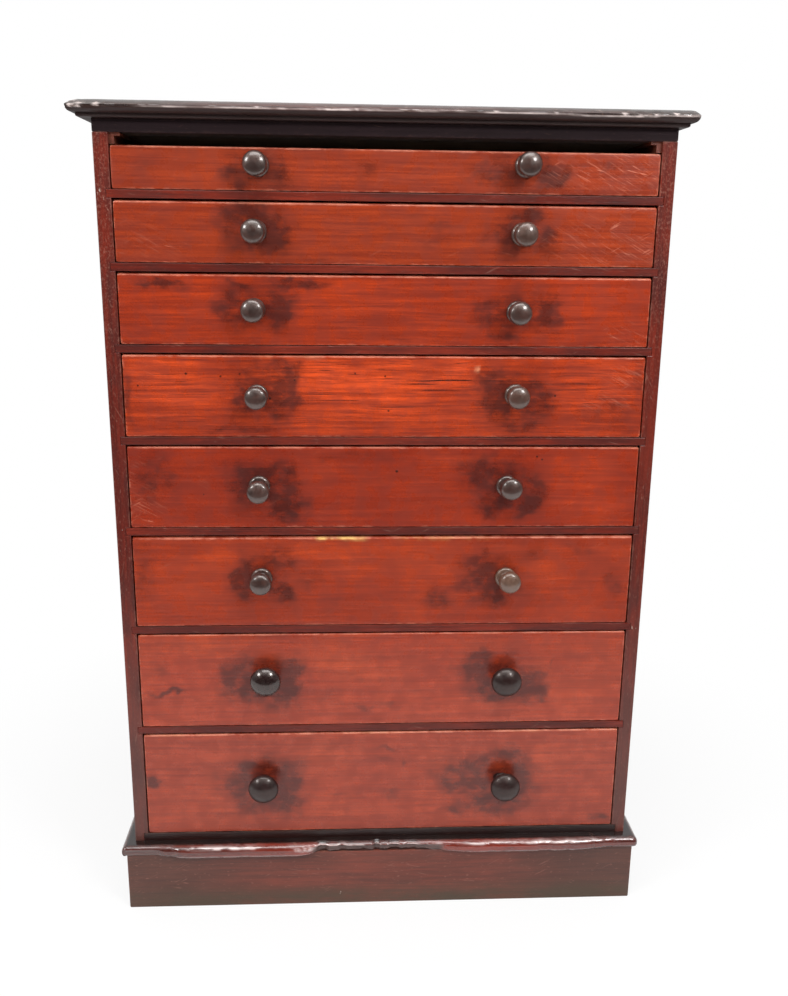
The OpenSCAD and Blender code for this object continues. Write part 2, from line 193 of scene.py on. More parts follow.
@dataclass
class Shell:
    """Points and faces of one piece, gathered from several surfaces."""

    points: list[np.ndarray] = field(default_factory=list)
    faces: list[list[int]] = field(default_factory=list)
    count: int = 0

    def add(self, points: np.ndarray, faces: list[list[int]]) -> None:
        """Adds a surface.

        Args:
            points: Its points, shape (n, 3).
            faces: Its faces, which number its points from 0.
        """
        self.points.append(points)
        self.faces += [[self.count + k for k in face] for face in faces]
        self.count += len(points)

    def add_grid(self, grid: np.ndarray, closed: bool = False) -> None:
        """Adds quads between neighbours of a grid of points.

        Args:
            grid: Points of shape (rows, columns, 3).
            closed: Whether the last column joins the first one.
        """
        rows, columns = grid.shape[:2]
        row = np.arange(rows - 1)[:, None] * columns
        column = np.arange(columns if closed else columns - 1)[None, :]
        after = (column + 1) % columns
        quads = np.stack([row + column, row + after, row + after + columns, row + column + columns], -1)
        self.add(grid.reshape(-1, 3), quads.reshape(-1, 4).tolist())

    def add_cap(self, outline: np.ndarray) -> None:
        """Adds one flat face inside an outline of shape (n, 3)."""
        self.add(outline, [list(range(len(outline)))])

    def mesh(self, name: str, smooth_angle: float = SHARP_ANGLE) -> bpy.types.Mesh:
        """Makes a mesh of all the surfaces, with its doubles merged and its normals outwards.

        Args:
            name: The mesh's name.
            smooth_angle: The angle in radians from which an arris is sharp.

        Returns:
            The mesh.
        """
        mesh = bpy.data.meshes.new(name)
        mesh.from_pydata(np.concatenate(self.points), [], self.faces)
        work = bmesh.new()
        work.from_mesh(mesh)
        bmesh.ops.remove_doubles(work, verts=work.verts, dist=SAME_PLACE)
        bmesh.ops.dissolve_degenerate(work, edges=work.edges, dist=1e-7)
        bmesh.ops.recalc_face_normals(work, faces=work.faces)
        work.to_mesh(mesh)
        work.free()
        mesh.shade_smooth()
        mesh.set_sharp_from_angle(angle=smooth_angle)
        return mesh


def points_of(mesh: bpy.types.Mesh) -> np.ndarray:
    """Reads a mesh's points.

    Args:
        mesh: The mesh.

    Returns:
        Points of shape (n, 3), in metres.
    """
    flat = np.empty(len(mesh.vertices) * 3, np.float32)
    mesh.vertices.foreach_get("co", flat)
    return flat.reshape(-1, 3).astype(float)


def paint(mesh: bpy.types.Mesh, **marks: np.ndarray) -> None:
    """Stores marks on a mesh, which its finish reads by their names.

    Args:
        mesh: The mesh.
        marks: One value for each point, by the mark's name.
    """
    for name, values in marks.items():
        layer = mesh.attributes.new(name, "FLOAT", "POINT")
        layer.data.foreach_set("value", values.astype(np.float32))


def arc(middle: Pair, radius: float, start: float, end: float, steps: int) -> np.ndarray:
    """Points of an arc: middle + radius * (sin, cos) of angles from start to end, in radians."""
    angle = np.linspace(start, end, steps)
    return np.stack([middle[0] + radius * np.sin(angle), middle[1] + radius * np.cos(angle)], -1)


def crown(width: float, drop: float) -> Pair:
    """The arc over half a crowned width: its radius is (width^2 + drop^2) / (2 * drop).

    Args:
        width: From the highest line to the edge.
        drop: How much lower the edge lies.

    Returns:
        The radius and the angle that the arc turns through.
    """
    radius = (width**2 + drop**2) / (2 * drop)
    return radius, math.asin(width / radius)


def eased_corner(x: np.ndarray, y: np.ndarray) -> tuple[np.ndarray, np.ndarray]:
    """Rounds a corner.

    Inside the corner square each point moves towards the middle by the ratio of the greater
    distance to the true one, which turns nested squares into circles.

    Args:
        x: Distances across from the middle of the round.
        y: Distances along from it.

    Returns:
        The two distances after easing.
    """
    inside = (x > 0) & (y > 0)
    ratio = np.where(inside, np.maximum(x, y) / (np.hypot(x, y) + 1e-12), 1.0)
    return x * ratio, y * ratio


def place(
    mesh: bpy.types.Mesh, body: str, slot: str, material: bpy.types.Material, *replaced: str
) -> bpy.types.Object:
    """Makes a piece of a finished mesh and lets it ride on a body.

    Args:
        mesh: The mesh in the row frame, whose name the piece takes.
        body: The body that carries the piece.
        slot: The record's material slot; not used.
        material: The finish.
        replaced: The CAD nodes that the piece stands for.

    Returns:
        The piece.
    """
    piece = bpy.data.objects.new(mesh.name, mesh)
    bpy.context.scene.collection.objects.link(piece)
    mesh.materials.append(material)
    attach(piece, body)
    if replaced:
        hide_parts(*replaced)
    LOG.info("%s: %d points, rides on %s", piece.name, len(mesh.vertices), body)
    return piece


def dress(node: str, material: bpy.types.Material, bevel: float = 0.6 * MM) -> None:
    """Gives a CAD node its finish and softens its arrises.

    Args:
        node: The node, which keeps its own mesh.
        material: The finish.
        bevel: Width of the worn arrises in metres, or 0 for none.
    """
    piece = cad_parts[node]
    piece.data.materials.clear()
    piece.data.materials.append(material)
    if bevel:
        weld = piece.modifiers.new("joined faces", "WELD")
        weld.merge_threshold = SAME_PLACE
        worn = piece.modifiers.new("worn arrises", "BEVEL")
        worn.width = bevel
        worn.segments = 2
        worn.limit_method = "ANGLE"
        worn.angle_limit = SHARP_ANGLE
        worn.use_clamp_overlap = True
        worn.harden_normals = False
    LOG.info("%s: dressed as %s", node, material.name)


# Shader trees


class Graph:
    """Adds nodes to a shader tree and joins them."""

    def __init__(self, tree: bpy.types.NodeTree) -> None:
        """Keeps the tree that the nodes go into."""
        self.tree = tree

    def fill(self, inputs: bpy.types.NodeInputs, values: dict[str | int, Given]) -> None:
        """Sets inputs to values, or joins sockets to them.

        Args:
            inputs: A node's inputs.
            values: Values or sockets, by the name or the number of the input.
        """
        for key, value in values.items():
            socket = inputs[key]
            if isinstance(value, Socket):
                self.tree.links.new(value, socket)
            elif socket.type == "RGBA" and len(value) == 3:
                socket.default_value = (*value, 1.0)
            else:
                socket.default_value = value

    def add(self, kind: str, inputs: dict[str | int, Given] | None = None, **settings: object) -> bpy.types.Node:
        """Adds a node.

        Args:
            kind: The node's type name without the ShaderNode prefix.
            inputs: Values or sockets, by the name or the number of the input.
            settings: Properties of the node.

        Returns:
            The node.
        """
        node = self.tree.nodes.new(f"ShaderNode{kind}")
        for name, value in settings.items():
            setattr(node, name, value)
        self.fill(node.inputs, inputs or {})
        return node

    def math(self, operation: str, *values: Number, clamp: bool = False) -> Socket:
        """The result of a Math node on values or sockets."""
        return self.add("Math", dict(enumerate(values)), operation=operation, use_clamp=clamp).outputs[0]

    def times(self, a: Number, b: Number) -> Socket:
        """The product of two numbers."""
        return self.math("MULTIPLY", a, b)

    def total(self, start: Number, *parts: tuple[Number, Number]) -> Socket:
        """Adds numbers to a first one.

        Args:
            start: The first number.
            parts: Each further number and its weight.

        Returns:
            The sum.
        """
        for value, weight in parts:
            start = self.math("ADD", start, self.times(value, weight))
        return start

    def vector(self, operation: str, *values: Given) -> Socket:
        """The vector that a Vector Math node makes of vectors or sockets."""
        return self.add("VectorMath", dict(enumerate(values)), operation=operation).outputs[0]

    def distance(self, a: Given, b: Given) -> Socket:
        """The distance between two positions."""
        return self.add("VectorMath", {0: a, 1: b}, operation="DISTANCE").outputs["Value"]

    def axis(self, at: Given, name: str) -> Socket:
        """One coordinate of a position: X, Y or Z."""
        return self.add("SeparateXYZ", {0: at}).outputs[name]

    def turned(self, at: Given, angle: Number) -> Socket:
        """A position turned round the Y axis."""
        inputs = {"Vector": at, "Center": (0, 0, 0), "Axis": (0, 1, 0), "Angle": angle}
        return self.add("VectorRotate", inputs).outputs[0]

    def noise(
        self, at: Given, scale: Number | Colour, detail: float = 2.0, rough: float = 0.5, warp: float = 0.0
    ) -> Socket:
        """Noise from 0 to 1.

        Args:
            at: The position.
            scale: Waves per metre, as one number or one for each axis.
            detail: How many finer layers are added.
            rough: How strong the finer layers are.
            warp: How far the noise bends itself.

        Returns:
            The noise.
        """
        if isinstance(scale, tuple):
            at, scale = self.vector("MULTIPLY", at, scale), 1.0
        inputs = {"Vector": at, "Scale": scale, "Detail": detail, "Roughness": rough, "Distortion": warp}
        return self.add("TexNoise", inputs).outputs["Fac"]

    def span(self, value: Number, low: Number, high: Number, start: Number = 0.0, end: Number = 1.0) -> Socket:
        """The value's smooth way from low to high, as a number from start to end."""
        inputs = {"Value": value, "From Min": low, "From Max": high, "To Min": start, "To Max": end}
        return self.add("MapRange", inputs, interpolation_type="SMOOTHSTEP").outputs["Result"]

    def mix(self, factor: Number, a: Socket | Colour, b: Socket | Colour) -> Socket:
        """Colour a changed towards colour b."""
        return self.add("Mix", {0: factor, 6: a, 7: b}, data_type="RGBA", clamp_factor=True).outputs[2]

    def stained(self, colour: Socket, *layers: tuple[Number, Number, Colour]) -> Socket:
        """Lays stains over a colour.

        Args:
            colour: The colour under them.
            layers: Each stain's mask, its strength and its own colour, from below upwards.

        Returns:
            The colour that shows.
        """
        for mask, strength, stain in layers:
            colour = self.mix(self.times(mask, strength), colour, stain)
        return colour

    def group(self, tree: bpy.types.NodeTree, inputs: dict[str | int, Given]) -> bpy.types.NodeOutputs:
        """The outputs of a shared effect, placed with its own inputs."""
        return self.add("Group", inputs, node_tree=tree).outputs


class Effect(Graph):
    """A shared effect under construction, as a node group."""

    def __init__(self, name: str, **inputs: str) -> None:
        """Starts the group.

        Args:
            name: The group's name.
            inputs: Each input's kind, Float or Vector, by its name.
        """
        super().__init__(bpy.data.node_groups.new(name, "ShaderNodeTree"))
        for label, kind in inputs.items():
            self.tree.interface.new_socket(label, in_out="INPUT", socket_type=f"NodeSocket{kind}")
        self.given = self.tree.nodes.new("NodeGroupInput").outputs

    def done(self, **values: Socket) -> bpy.types.NodeTree:
        """Gives the group its outputs.

        Args:
            values: What the group puts out, by the output's name.

        Returns:
            The group.
        """
        for label in values:
            self.tree.interface.new_socket(label, in_out="OUTPUT", socket_type="NodeSocketFloat")
        self.fill(self.tree.nodes.new("NodeGroupOutput").inputs, values)
        return self.tree


class Effects:
    """The effects that several finishes share, each built once."""

    def __init__(self) -> None:
        """Builds the groups."""
        self.grain = self._grain()
        self.patina = self._patina()
        self.arris = self._arris()
        self.scratches = self._scratches()
        self.dust = self._dust()

    @staticmethod
    def _grain() -> bpy.types.NodeTree:
        """Wood grain along X: streaks of noise, drawn out and made to wander.

        Returns:
            The group.
        """
        g = Effect("wood grain", Point="Vector", Wander="Float")
        at = g.given["Point"]
        bend = g.times(g.math("SUBTRACT", g.noise(at, (5, 14, 14)), 0.5), g.given["Wander"])
        at = g.vector("ADD", at, g.add("CombineXYZ", {"Y": bend, "Z": bend}).outputs[0])
        coarse = g.noise(at, (9, 330, 330), detail=3, rough=0.7)
        fibre = g.total(g.times(coarse, 0.75), (g.noise(at, (26, 1100, 1100)), 0.25))
        bands = g.noise(at, (1.6, 60, 60), detail=3)
        pores = g.noise(at, (12, 850, 850), detail=3, rough=0.6)
        streaks = g.noise(at, (14, 280, 280), detail=5, rough=0.75)
        return g.done(
            Fibre=g.span(fibre, 0.38, 0.62),
            Bands=g.span(bands, 0.32, 0.68),
            Pores=g.span(pores, 0.58, 0.67),
            Streaks=g.span(streaks, 0.36, 0.64),
        )

    @staticmethod
    def _patina() -> bpy.types.NodeTree:
        """Uneven colour: slow clouds, a finer mottle and small specks.

        Returns:
            The group.
        """
        g = Effect("patina", Point="Vector", Size="Float")
        at, size = g.given["Point"], g.given["Size"]
        clouds = g.noise(at, size, detail=3, rough=0.55, warp=0.5)
        mottle = g.noise(at, g.times(size, 5.0), detail=4, rough=0.6)
        specks = g.noise(at, g.times(size, 50.0), detail=1)
        return g.done(
            Clouds=g.span(clouds, 0.34, 0.66),
            Mottle=g.span(mottle, 0.34, 0.66),
            Specks=g.span(specks, 0.68, 0.74),
        )

    @staticmethod
    def _arris() -> bpy.types.NodeTree:
        """Wear along the arrises of a board with given corners.

        On a face one of the three distances to the board's sides is 0, so the middle one of the
        three is the distance to the nearest arris.

        Returns:
            The group.
        """
        g = Effect("arris wear", Point="Vector", Low="Vector", High="Vector", Reach="Float")
        at = g.given["Point"]
        from_low = g.vector("SUBTRACT", at, g.given["Low"])
        to_high = g.vector("SUBTRACT", g.given["High"], at)
        near = g.add("SeparateXYZ", {0: g.vector("MINIMUM", from_low, to_high)}).outputs
        greater = g.math("MAXIMUM", near[0], near[1])
        middle = g.math("MAXIMUM", g.math("MINIMUM", near[0], near[1]), g.math("MINIMUM", greater, near[2]))
        ragged = g.noise(at, 160, detail=4, rough=0.65)
        local = g.times(g.given["Reach"], g.span(ragged, 0.38, 0.68, 0.15, 1.9))
        worn = g.math("SUBTRACT", 1.0, g.math("DIVIDE", middle, local), clamp=True)
        return g.done(Wear=g.times(worn, g.span(g.noise(at, 28, detail=3), 0.36, 0.6, 0.25, 1.0)))

    @staticmethod
    def _scratches() -> bpy.types.NodeTree:
        """Short thin scratches in two directions, kept to some places by slower noise, and fine dense ones.

        Returns:
            The group.
        """
        g = Effect("scratches", Point="Vector", Slope="Float")
        at, slope = g.given["Point"], g.given["Slope"]
        layers = []
        for turn, seed in ((1.0, 0.0), (-0.45, 7.3)):
            moved = g.vector("ADD", g.turned(at, g.times(slope, turn)), (seed, 0.0, seed))
            lines = g.noise(moved, (34, 34, 620), detail=1.5)
            where = g.noise(moved, (60, 60, 90))
            layers.append(g.times(g.span(lines, 0.66, 0.73), g.span(where, 0.5, 0.62)))
        mirrored = g.vector("MULTIPLY", at, (1.0, 1.0, -1.0))
        dense = g.noise(g.turned(mirrored, slope), (45, 45, 900), detail=3, rough=0.65)
        return g.done(Scratch=g.math("MAXIMUM", *layers), Dense=g.span(dense, 0.54, 0.66))

    @staticmethod
    def _dust() -> bpy.types.NodeTree:
        """Dust on surfaces that face upwards, in patches.

        Returns:
            The group.
        """
        g = Effect("dust", Point="Vector", Normal="Vector", Amount="Float")
        patch = g.noise(g.given["Point"], 22, detail=5, rough=0.65)
        dust = g.times(g.span(g.axis(g.given["Normal"], "Z"), 0.5, 0.95), g.span(patch, 0.3, 0.7))
        return g.done(Dust=g.times(dust, g.given["Amount"]))


class Surface(Graph):
    """A material's tree, with the places and the normals of the piece that has it."""

    def __init__(self, name: str) -> None:
        """Starts a material with a Principled BSDF.

        Args:
            name: The material's name.
        """
        self.material = bpy.data.materials.new(name)
        self.material.use_nodes = True
        super().__init__(self.material.node_tree)
        self.shader = self.tree.nodes["Principled BSDF"]
        coordinates = self.add("TexCoord").outputs
        self.at, self.normal = coordinates["Object"], coordinates["Normal"]

    def moved(self, at: Socket, **mapping: tuple[float, float, float]) -> Socket:
        """A position after a Mapping node with the given Location or Rotation."""
        return self.add("Mapping", {"Vector": at, **mapping}).outputs[0]

    def painted(self, name: str) -> Socket:
        """The values that paint() stored under a name."""
        return self.add("Attribute", attribute_name=name).outputs["Fac"]

    def finish(
        self, values: dict[str, Given], height: Socket, strength: float, depth: float
    ) -> bpy.types.Material:
        """Gives the shader its values and its relief.

        Args:
            values: The shader's values, by the names of its inputs.
            height: The relief, in depths.
            strength: How strongly the relief shows.
            depth: One depth of the relief in metres.

        Returns:
            The material.
        """
        bump = self.add("Bump", {"Height": height, "Strength": strength, "Distance": depth})
        self.fill(self.shader.inputs, {**values, "Normal": bump.outputs[0]})
        return self.material


# Finishes


class Grain(Enum):
    """The direction that a board's grain runs in, as the turn that brings it onto X."""

    ACROSS = (0.0, 0.0, 0.0)
    DEEP = (0.0, 0.0, math.pi / 2)
    UPRIGHT = (0.0, math.pi / 2, 0.0)


@dataclass(frozen=True)
class StainedWood:
    """Softwood with a red or black stain under worn varnish.

    The stain goes from deep by body to bright, and worn is its colour where it is rubbed. Each
    field that is one number is the strength of its mark, apart from roughness and the reaches.
    """

    name: str
    deep: Colour
    body: Colour
    bright: Colour
    worn: Colour
    grain: Grain = Grain.ACROSS
    roughness: float = 0.34
    fibre: float = 0.35
    pores: float = 0.35
    mottle: float = 0.35
    arris: float = 0.5
    reach: float = 1.2 * MM
    specks: float = 0.3
    dust: float = 0.15
    relief: float = 0.25
    sheen: float = 0.5
    coat: float = 0.0
    coat_sooty: float | None = None
    pitted: float = 0.0
    raw_below: bool = False
    middle: Colour | None = None
    middle_reach: float = 0.2
    middle_clouds: float = 0.35
    olive: Colour | None = None
    # Grey of the painted reflection of the floor, low on the front edges.
    floor_reflection: Colour = srgb(104, 82, 76)
    pore: Colour = (0.012, 0.006, 0.005)
    settled: Colour = srgb(150, 140, 128)
    raw: Colour = srgb(176, 166, 168)
    # Dark colour painted on the front of the underside, as shade.
    underside_shade: Colour = srgb(50, 38, 42)
    bare: Colour = srgb(214, 205, 192)
    torn: Colour = srgb(76, 58, 46)
    # Colour of the painted shade under the top's nose, and of the darker flat of the cap next to the case.
    soot: Colour = srgb(42, 27, 26)
    soot_rough: float = 0.15
    has_marks: bool = False
    nicks: tuple[Nick, ...] = ()

    def build(self, effects: Effects, node: str) -> bpy.types.Material:
        """The finish of one board.

        Args:
            effects: The shared effects.
            node: The board's CAD node, which gives the places of its arrises.

        Returns:
            The material.
        """
        g = Surface(f"{self.name} on {node}")
        low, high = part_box(node)
        shade = sum(ord(letter) for letter in node)
        shift = (shade * 0.37, shade * 0.11, shade * 0.23)
        turned = g.moved(g.at, Rotation=self.grain.value, Location=shift)
        grain = g.group(effects.grain, {"Point": turned, "Wander": 0.004})
        drawn_out = g.vector("MULTIPLY", turned, (0.35, 1.0, 1.0))
        patina = g.group(effects.patina, {"Point": drawn_out, "Size": 11.0})
        wear = g.group(effects.arris, {"Point": g.at, "Low": low, "High": high, "Reach": self.reach})[0]
        scratch = g.group(effects.scratches, {"Point": turned, "Slope": 0.5})["Scratch"]
        dust = g.group(effects.dust, {"Point": g.at, "Normal": g.normal, "Amount": self.dust})[0]
        colour = g.mix(g.times(patina["Clouds"], 0.8), self.body, self.bright)
        if self.middle:
            colour = g.mix(self._middle(g, patina["Clouds"]), colour, self.middle)
        colour = g.stained(
            colour,
            (patina["Mottle"], self.mottle, self.deep),
            (grain["Fibre"], self.fibre, self.deep),
            (grain["Streaks"], 0.35, self.deep),
            (grain["Pores"], self.pores, self.pore),
            (scratch, 0.35, self.worn),
            (patina["Specks"], self.specks, self.worn),
            (wear, self.arris, self.worn),
        )
        rough = g.span(patina["Mottle"], 0.0, 1.0, self.roughness - 0.04, self.roughness + 0.07)
        rough = g.total(rough, (dust, 0.4))
        if self.olive:
            low_down = g.math("SUBTRACT", g.axis(g.at, "Z"), low.z)
            ragged = g.span(patina["Mottle"], 0.0, 1.0, 0.6, 1.0)
            colour = g.stained(colour, (g.span(low_down, 4 * MM, 30 * MM, 1.0, 0.0), ragged, self.olive))
        # Marks stored on the mesh: the darkening (painted shade under the top's nose, a darker flat on the cap), torn
        # wood, and bare wood that also paints highlights.
        if self.has_marks:
            soot, torn, bare = (g.painted(name) for name in ("soot", "torn", "bare"))
            spotted = g.span(patina["Specks"], 0.0, 1.0, 1.0, 0.3)
            colour = g.mix(torn, g.mix(soot, colour, self.soot), self.torn)
            colour = g.stained(colour, (bare, spotted, self.bare))
            rough = g.total(rough, (torn, 0.35), (soot, self.soot_rough))
        if self.nicks:
            colour = self._nicked(g, colour)
        if self.pitted:
            colour = self._pitted(g, colour, low.y)
        # Faces turned down are raw pine, painted dark near the front edge: painted shade in the slot above the first
        # drawer.
        if self.raw_below:
            below = g.span(g.axis(g.normal, "Z"), -0.9, -0.7, 1.0, 0.0)
            inside = g.span(g.axis(g.at, "Y"), low.y + 4 * MM, low.y + 60 * MM)
            colour = g.mix(below, colour, g.mix(inside, self.underside_shade, self.raw))
        values = {
            "Base Color": g.mix(dust, colour, self.settled),
            "Roughness": rough,
            "Specular IOR Level": self.sheen,
            "Coat Weight": self.coat,
            "Coat Roughness": 0.16,
        }
        if self.coat_sooty is not None:
            values["Coat Weight"] = g.span(g.painted("soot"), 0.0, 0.6, self.coat, self.coat_sooty)
        height = g.total(
            g.times(grain["Fibre"], -0.35), (grain["Pores"], -0.6), (scratch, -0.5), (patina["Mottle"], 0.05)
        )
        return g.finish(values, height, self.relief, 0.4 * MM)

    def _nicked(self, g: Surface, colour: Socket) -> Socket:
        """Lays pale nicks over a colour: short upright strokes that noise breaks up.

        Args:
            g: The material's tree.
            colour: The colour under them.

        Returns:
            The colour that shows.
        """
        broken = g.times(g.noise(g.at, 700.0), 1.6 * MM)
        squeezed = g.vector("MULTIPLY", g.at, (1.0, 1.0, 0.4))
        for x, y, z, radius in self.nicks:
            apart = g.math("ADD", g.distance(squeezed, (x * MM, y * MM, 0.4 * z * MM)), broken)
            colour = g.mix(g.span(apart, 0.8 * MM, (0.8 + 0.6 * radius) * MM, 0.7, 0.0), colour, self.bare)
        return colour

    def _pitted(self, g: Surface, colour: Socket, front: float) -> Socket:
        """Crazes the varnish high on the cabinet's front edge, and paints a grey reflection of the floor low on it.

        Args:
            g: The material's tree.
            colour: The colour under them.
            front: Where the board's front edge lies, in metres.

        Returns:
            The colour that shows.
        """
        up = g.axis(g.at, "Z")
        near_front = g.span(g.axis(g.at, "Y"), front + 2 * MM, front + 20 * MM, 1.0, 0.2)
        high_up = g.times(g.times(g.span(up, 0.5, 0.78, 0.25, 1.0), near_front), self.pitted)
        crazed = g.noise(g.vector("MULTIPLY", g.at, (1.0, 1.0, 0.7)), 520.0, detail=4, rough=0.7)
        pale, dark = g.span(crazed, 0.5, 0.66), g.span(crazed, 0.48, 0.36, 0.0, 0.8)
        colour = g.stained(colour, (pale, high_up, self.worn), (dark, high_up, self.deep))
        # Painted reflection of the floor: greyer low down.
        return g.mix(g.span(up, 0.12, 0.42, 0.34, 0.0), colour, self.floor_reflection)

    def _middle(self, g: Surface, clouds: Socket) -> Socket:
        """How red the stain still is: most in the middle of the cabinet, by clouds, and less at its ends.

        Args:
            g: The material's tree.
            clouds: Slow noise from 0 to 1.

        Returns:
            A mask.
        """
        aside, reach = g.math("ABSOLUTE", g.axis(g.at, "X")), self.middle_reach
        inner = g.span(aside, 0.4 * reach, 1.2 * reach, 1.0, 0.0)
        return g.times(inner, g.span(clouds, 0.0, 1.0, self.middle_clouds, 1.0))


@dataclass(frozen=True)
class FrontStain:
    """The orange-red stain of a drawer front, with the marks that its own mesh carries."""

    deep: Colour = srgb(96, 30, 22)
    # Colour of the hand grime and of the painted shadows of the knobs.
    grime: Colour = srgb(58, 27, 25)
    worn: Colour = srgb(214, 132, 106)
    pore: Colour = srgb(40, 16, 14)
    pit: Colour = (0.008, 0.004, 0.003)
    pine: Colour = srgb(196, 158, 108)
    late: Colour = srgb(150, 108, 66)
    end: Colour = srgb(128, 88, 54)
    roughness: float = 0.28

    def build(self, effects: Effects, number: int, look: "FrontLook") -> bpy.types.Material:
        """The finish of one drawer front.

        Args:
            effects: The shared effects.
            number: The drawer's number, which also moves the grain.
            look: How much of each mark the front shows, and its pits.

        Returns:
            The material.
        """
        node = f"drawer_{number}_front"
        g = Surface(f"red stain on {node}")
        low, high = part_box(node)
        top = high.z - look.planed * MM
        moved = g.moved(g.at, Location=(number * 3.1, number * 1.7, number * 0.9))
        grain = g.group(effects.grain, {"Point": moved, "Wander": look.wander})
        patina = g.group(effects.patina, {"Point": moved, "Size": 12.0})
        corners = {"Low": low, "High": (high.x, high.y, top)}
        wear = g.group(effects.arris, {"Point": g.at, "Reach": 1.3 * MM, **corners})[0]
        scratches = g.group(effects.scratches, {"Point": moved, "Slope": 0.5})
        smudge, glow, scuff, bare = (g.painted(name) for name in ("smudge", "glow", "scuff", "bare"))
        lively = g.total(g.times(glow, 0.9), (patina["Clouds"], 0.3))
        lively = g.times(lively, g.span(grain["Streaks"], 0.0, 1.0, 1.1, 0.88))
        colour = g.stained(
            g.mix(lively, look.body, look.bright),
            (grain["Bands"], 0.12, self.deep),
            (grain["Fibre"], look.fibre, self.deep),
            (grain["Streaks"], look.streaks, self.deep),
            (patina["Mottle"], 0.26, self.deep),
        )
        # Hand grime and the painted shadows of the knobs, in the grime colour with ragged outlines.
        torn = g.noise(moved, (70, 70, 110), detail=5, rough=0.65)
        ragged = g.times(smudge, g.span(torn, 0.3, 0.7, 0.6, 1.4))
        colour = g.mix(g.span(ragged, 0.05, 0.66, 0.0, 0.74), colour, self.grime)
        opened = g.math("MULTIPLY", g.math("ADD", glow, 0.35), look.open_grain, clamp=True)
        pores = g.times(grain["Pores"], opened)
        rubbed = g.math("MULTIPLY", scratches["Scratch"], g.math("ADD", scuff, 0.10), clamp=True)
        # A pale worn line along the top edge, which also paints the highlight of its arris.
        top_edge_wear_and_highlight = g.span(g.math("SUBTRACT", top, g.axis(g.at, "Z")), 0.5 * MM, 1.6 * MM, 1.0, 0.0)
        uneven = g.span(g.noise(moved, 45, detail=4, rough=0.7), 0.38, 0.62, 0.05, look.rubbed)
        pits = self._pits(g, low, look)
        colour = g.stained(
            colour,
            (pores, 1.0, self.pore),
            (rubbed, 0.75, self.worn),
            (g.times(scratches["Dense"], scuff), 0.4, self.worn),
            (wear, 0.45, self.worn),
            (top_edge_wear_and_highlight, uneven, self.worn),
            (bare, 1.0, look.bare),
            (pits, 1.0, self.pit),
        )
        depth = g.math("SUBTRACT", g.axis(g.at, "Y"), low.y)
        inside = g.span(g.total(depth, (patina["Mottle"], -1.5 * MM)), 3.5 * MM, 4.5 * MM)
        pine = g.mix(g.times(grain["Fibre"], 0.5), self.pine, self.late)
        end_grain = g.math("ABSOLUTE", g.axis(g.normal, "X"))
        pine = g.mix(g.span(end_grain, 0.7, 0.9, 0.0, 0.6), pine, self.end)
        rough = g.span(patina["Mottle"], 0.0, 1.0, self.roughness - 0.04, self.roughness + 0.10)
        values = {
            "Base Color": g.mix(inside, colour, pine),
            "Roughness": g.total(rough, (inside, 0.35), (bare, 0.3)),
            "Specular IOR Level": look.sheen,
        }
        height = g.total(g.times(grain["Fibre"], -0.4), (pores, -1.0), (rubbed, -0.3), (pits, -3.0))
        return g.finish(values, height, 0.22, 0.6 * MM)

    @staticmethod
    def _pits(g: Surface, low: Vector, look: "FrontLook") -> Number:
        """Where pits are: within their radius of each one's place.

        Args:
            g: The material's tree.
            low: The front's lowest corner.
            look: The front's marks.

        Returns:
            A mask, or 0 where the front has no pits.
        """
        pits = 0.0
        for x, z, radius in look.pits:
            apart = g.distance(g.at, (x * MM, low.y, low.z + z * MM))
            pits = g.math("MAXIMUM", pits, g.span(apart, 0.6 * radius * MM, 1.4 * radius * MM, 0.85, 0.0))
        return pits


@dataclass(frozen=True)
class BarePine:
    """Unstained pine, aged by air and handling, with darker end grain."""

    name: str
    body: Colour
    late: Colour
    grain: Grain
    roughness: float = 0.62
    grime: float = 0.25
    handled: Colour = srgb(104, 78, 52)
    end: Colour = srgb(120, 82, 48)
    speck: Colour = srgb(70, 48, 32)
    settled: Colour = srgb(150, 138, 120)

    def build(self, effects: Effects) -> bpy.types.Material:
        """The finish for every board of one grain direction.

        Args:
            effects: The shared effects.

        Returns:
            The material.
        """
        g = Surface(self.name)
        turned = g.moved(g.at, Rotation=self.grain.value)
        normal = g.moved(g.normal, Rotation=self.grain.value)
        end = g.span(g.math("ABSOLUTE", g.axis(normal, "X")), 0.6, 0.9)
        grain = g.group(effects.grain, {"Point": turned, "Wander": 8 * MM})
        patina = g.group(effects.patina, {"Point": g.at, "Size": 8.0})
        dust = g.group(effects.dust, {"Point": g.at, "Normal": g.normal, "Amount": 0.25})[0]
        colour = g.stained(
            g.mix(g.times(grain["Bands"], 0.55), self.body, self.late),
            (grain["Fibre"], 0.4, self.late),
            (patina["Clouds"], self.grime, self.handled),
            (end, 0.6, self.end),
            (patina["Specks"], 0.3, self.speck),
            (dust, 1.0, self.settled),
        )
        rough = g.span(patina["Mottle"], 0.0, 1.0, self.roughness - 0.06, self.roughness + 0.1)
        height = g.total(grain["Fibre"], (patina["Mottle"], 0.4))
        return g.finish({"Base Color": colour, "Roughness": rough}, height, 0.3, 0.5 * MM)


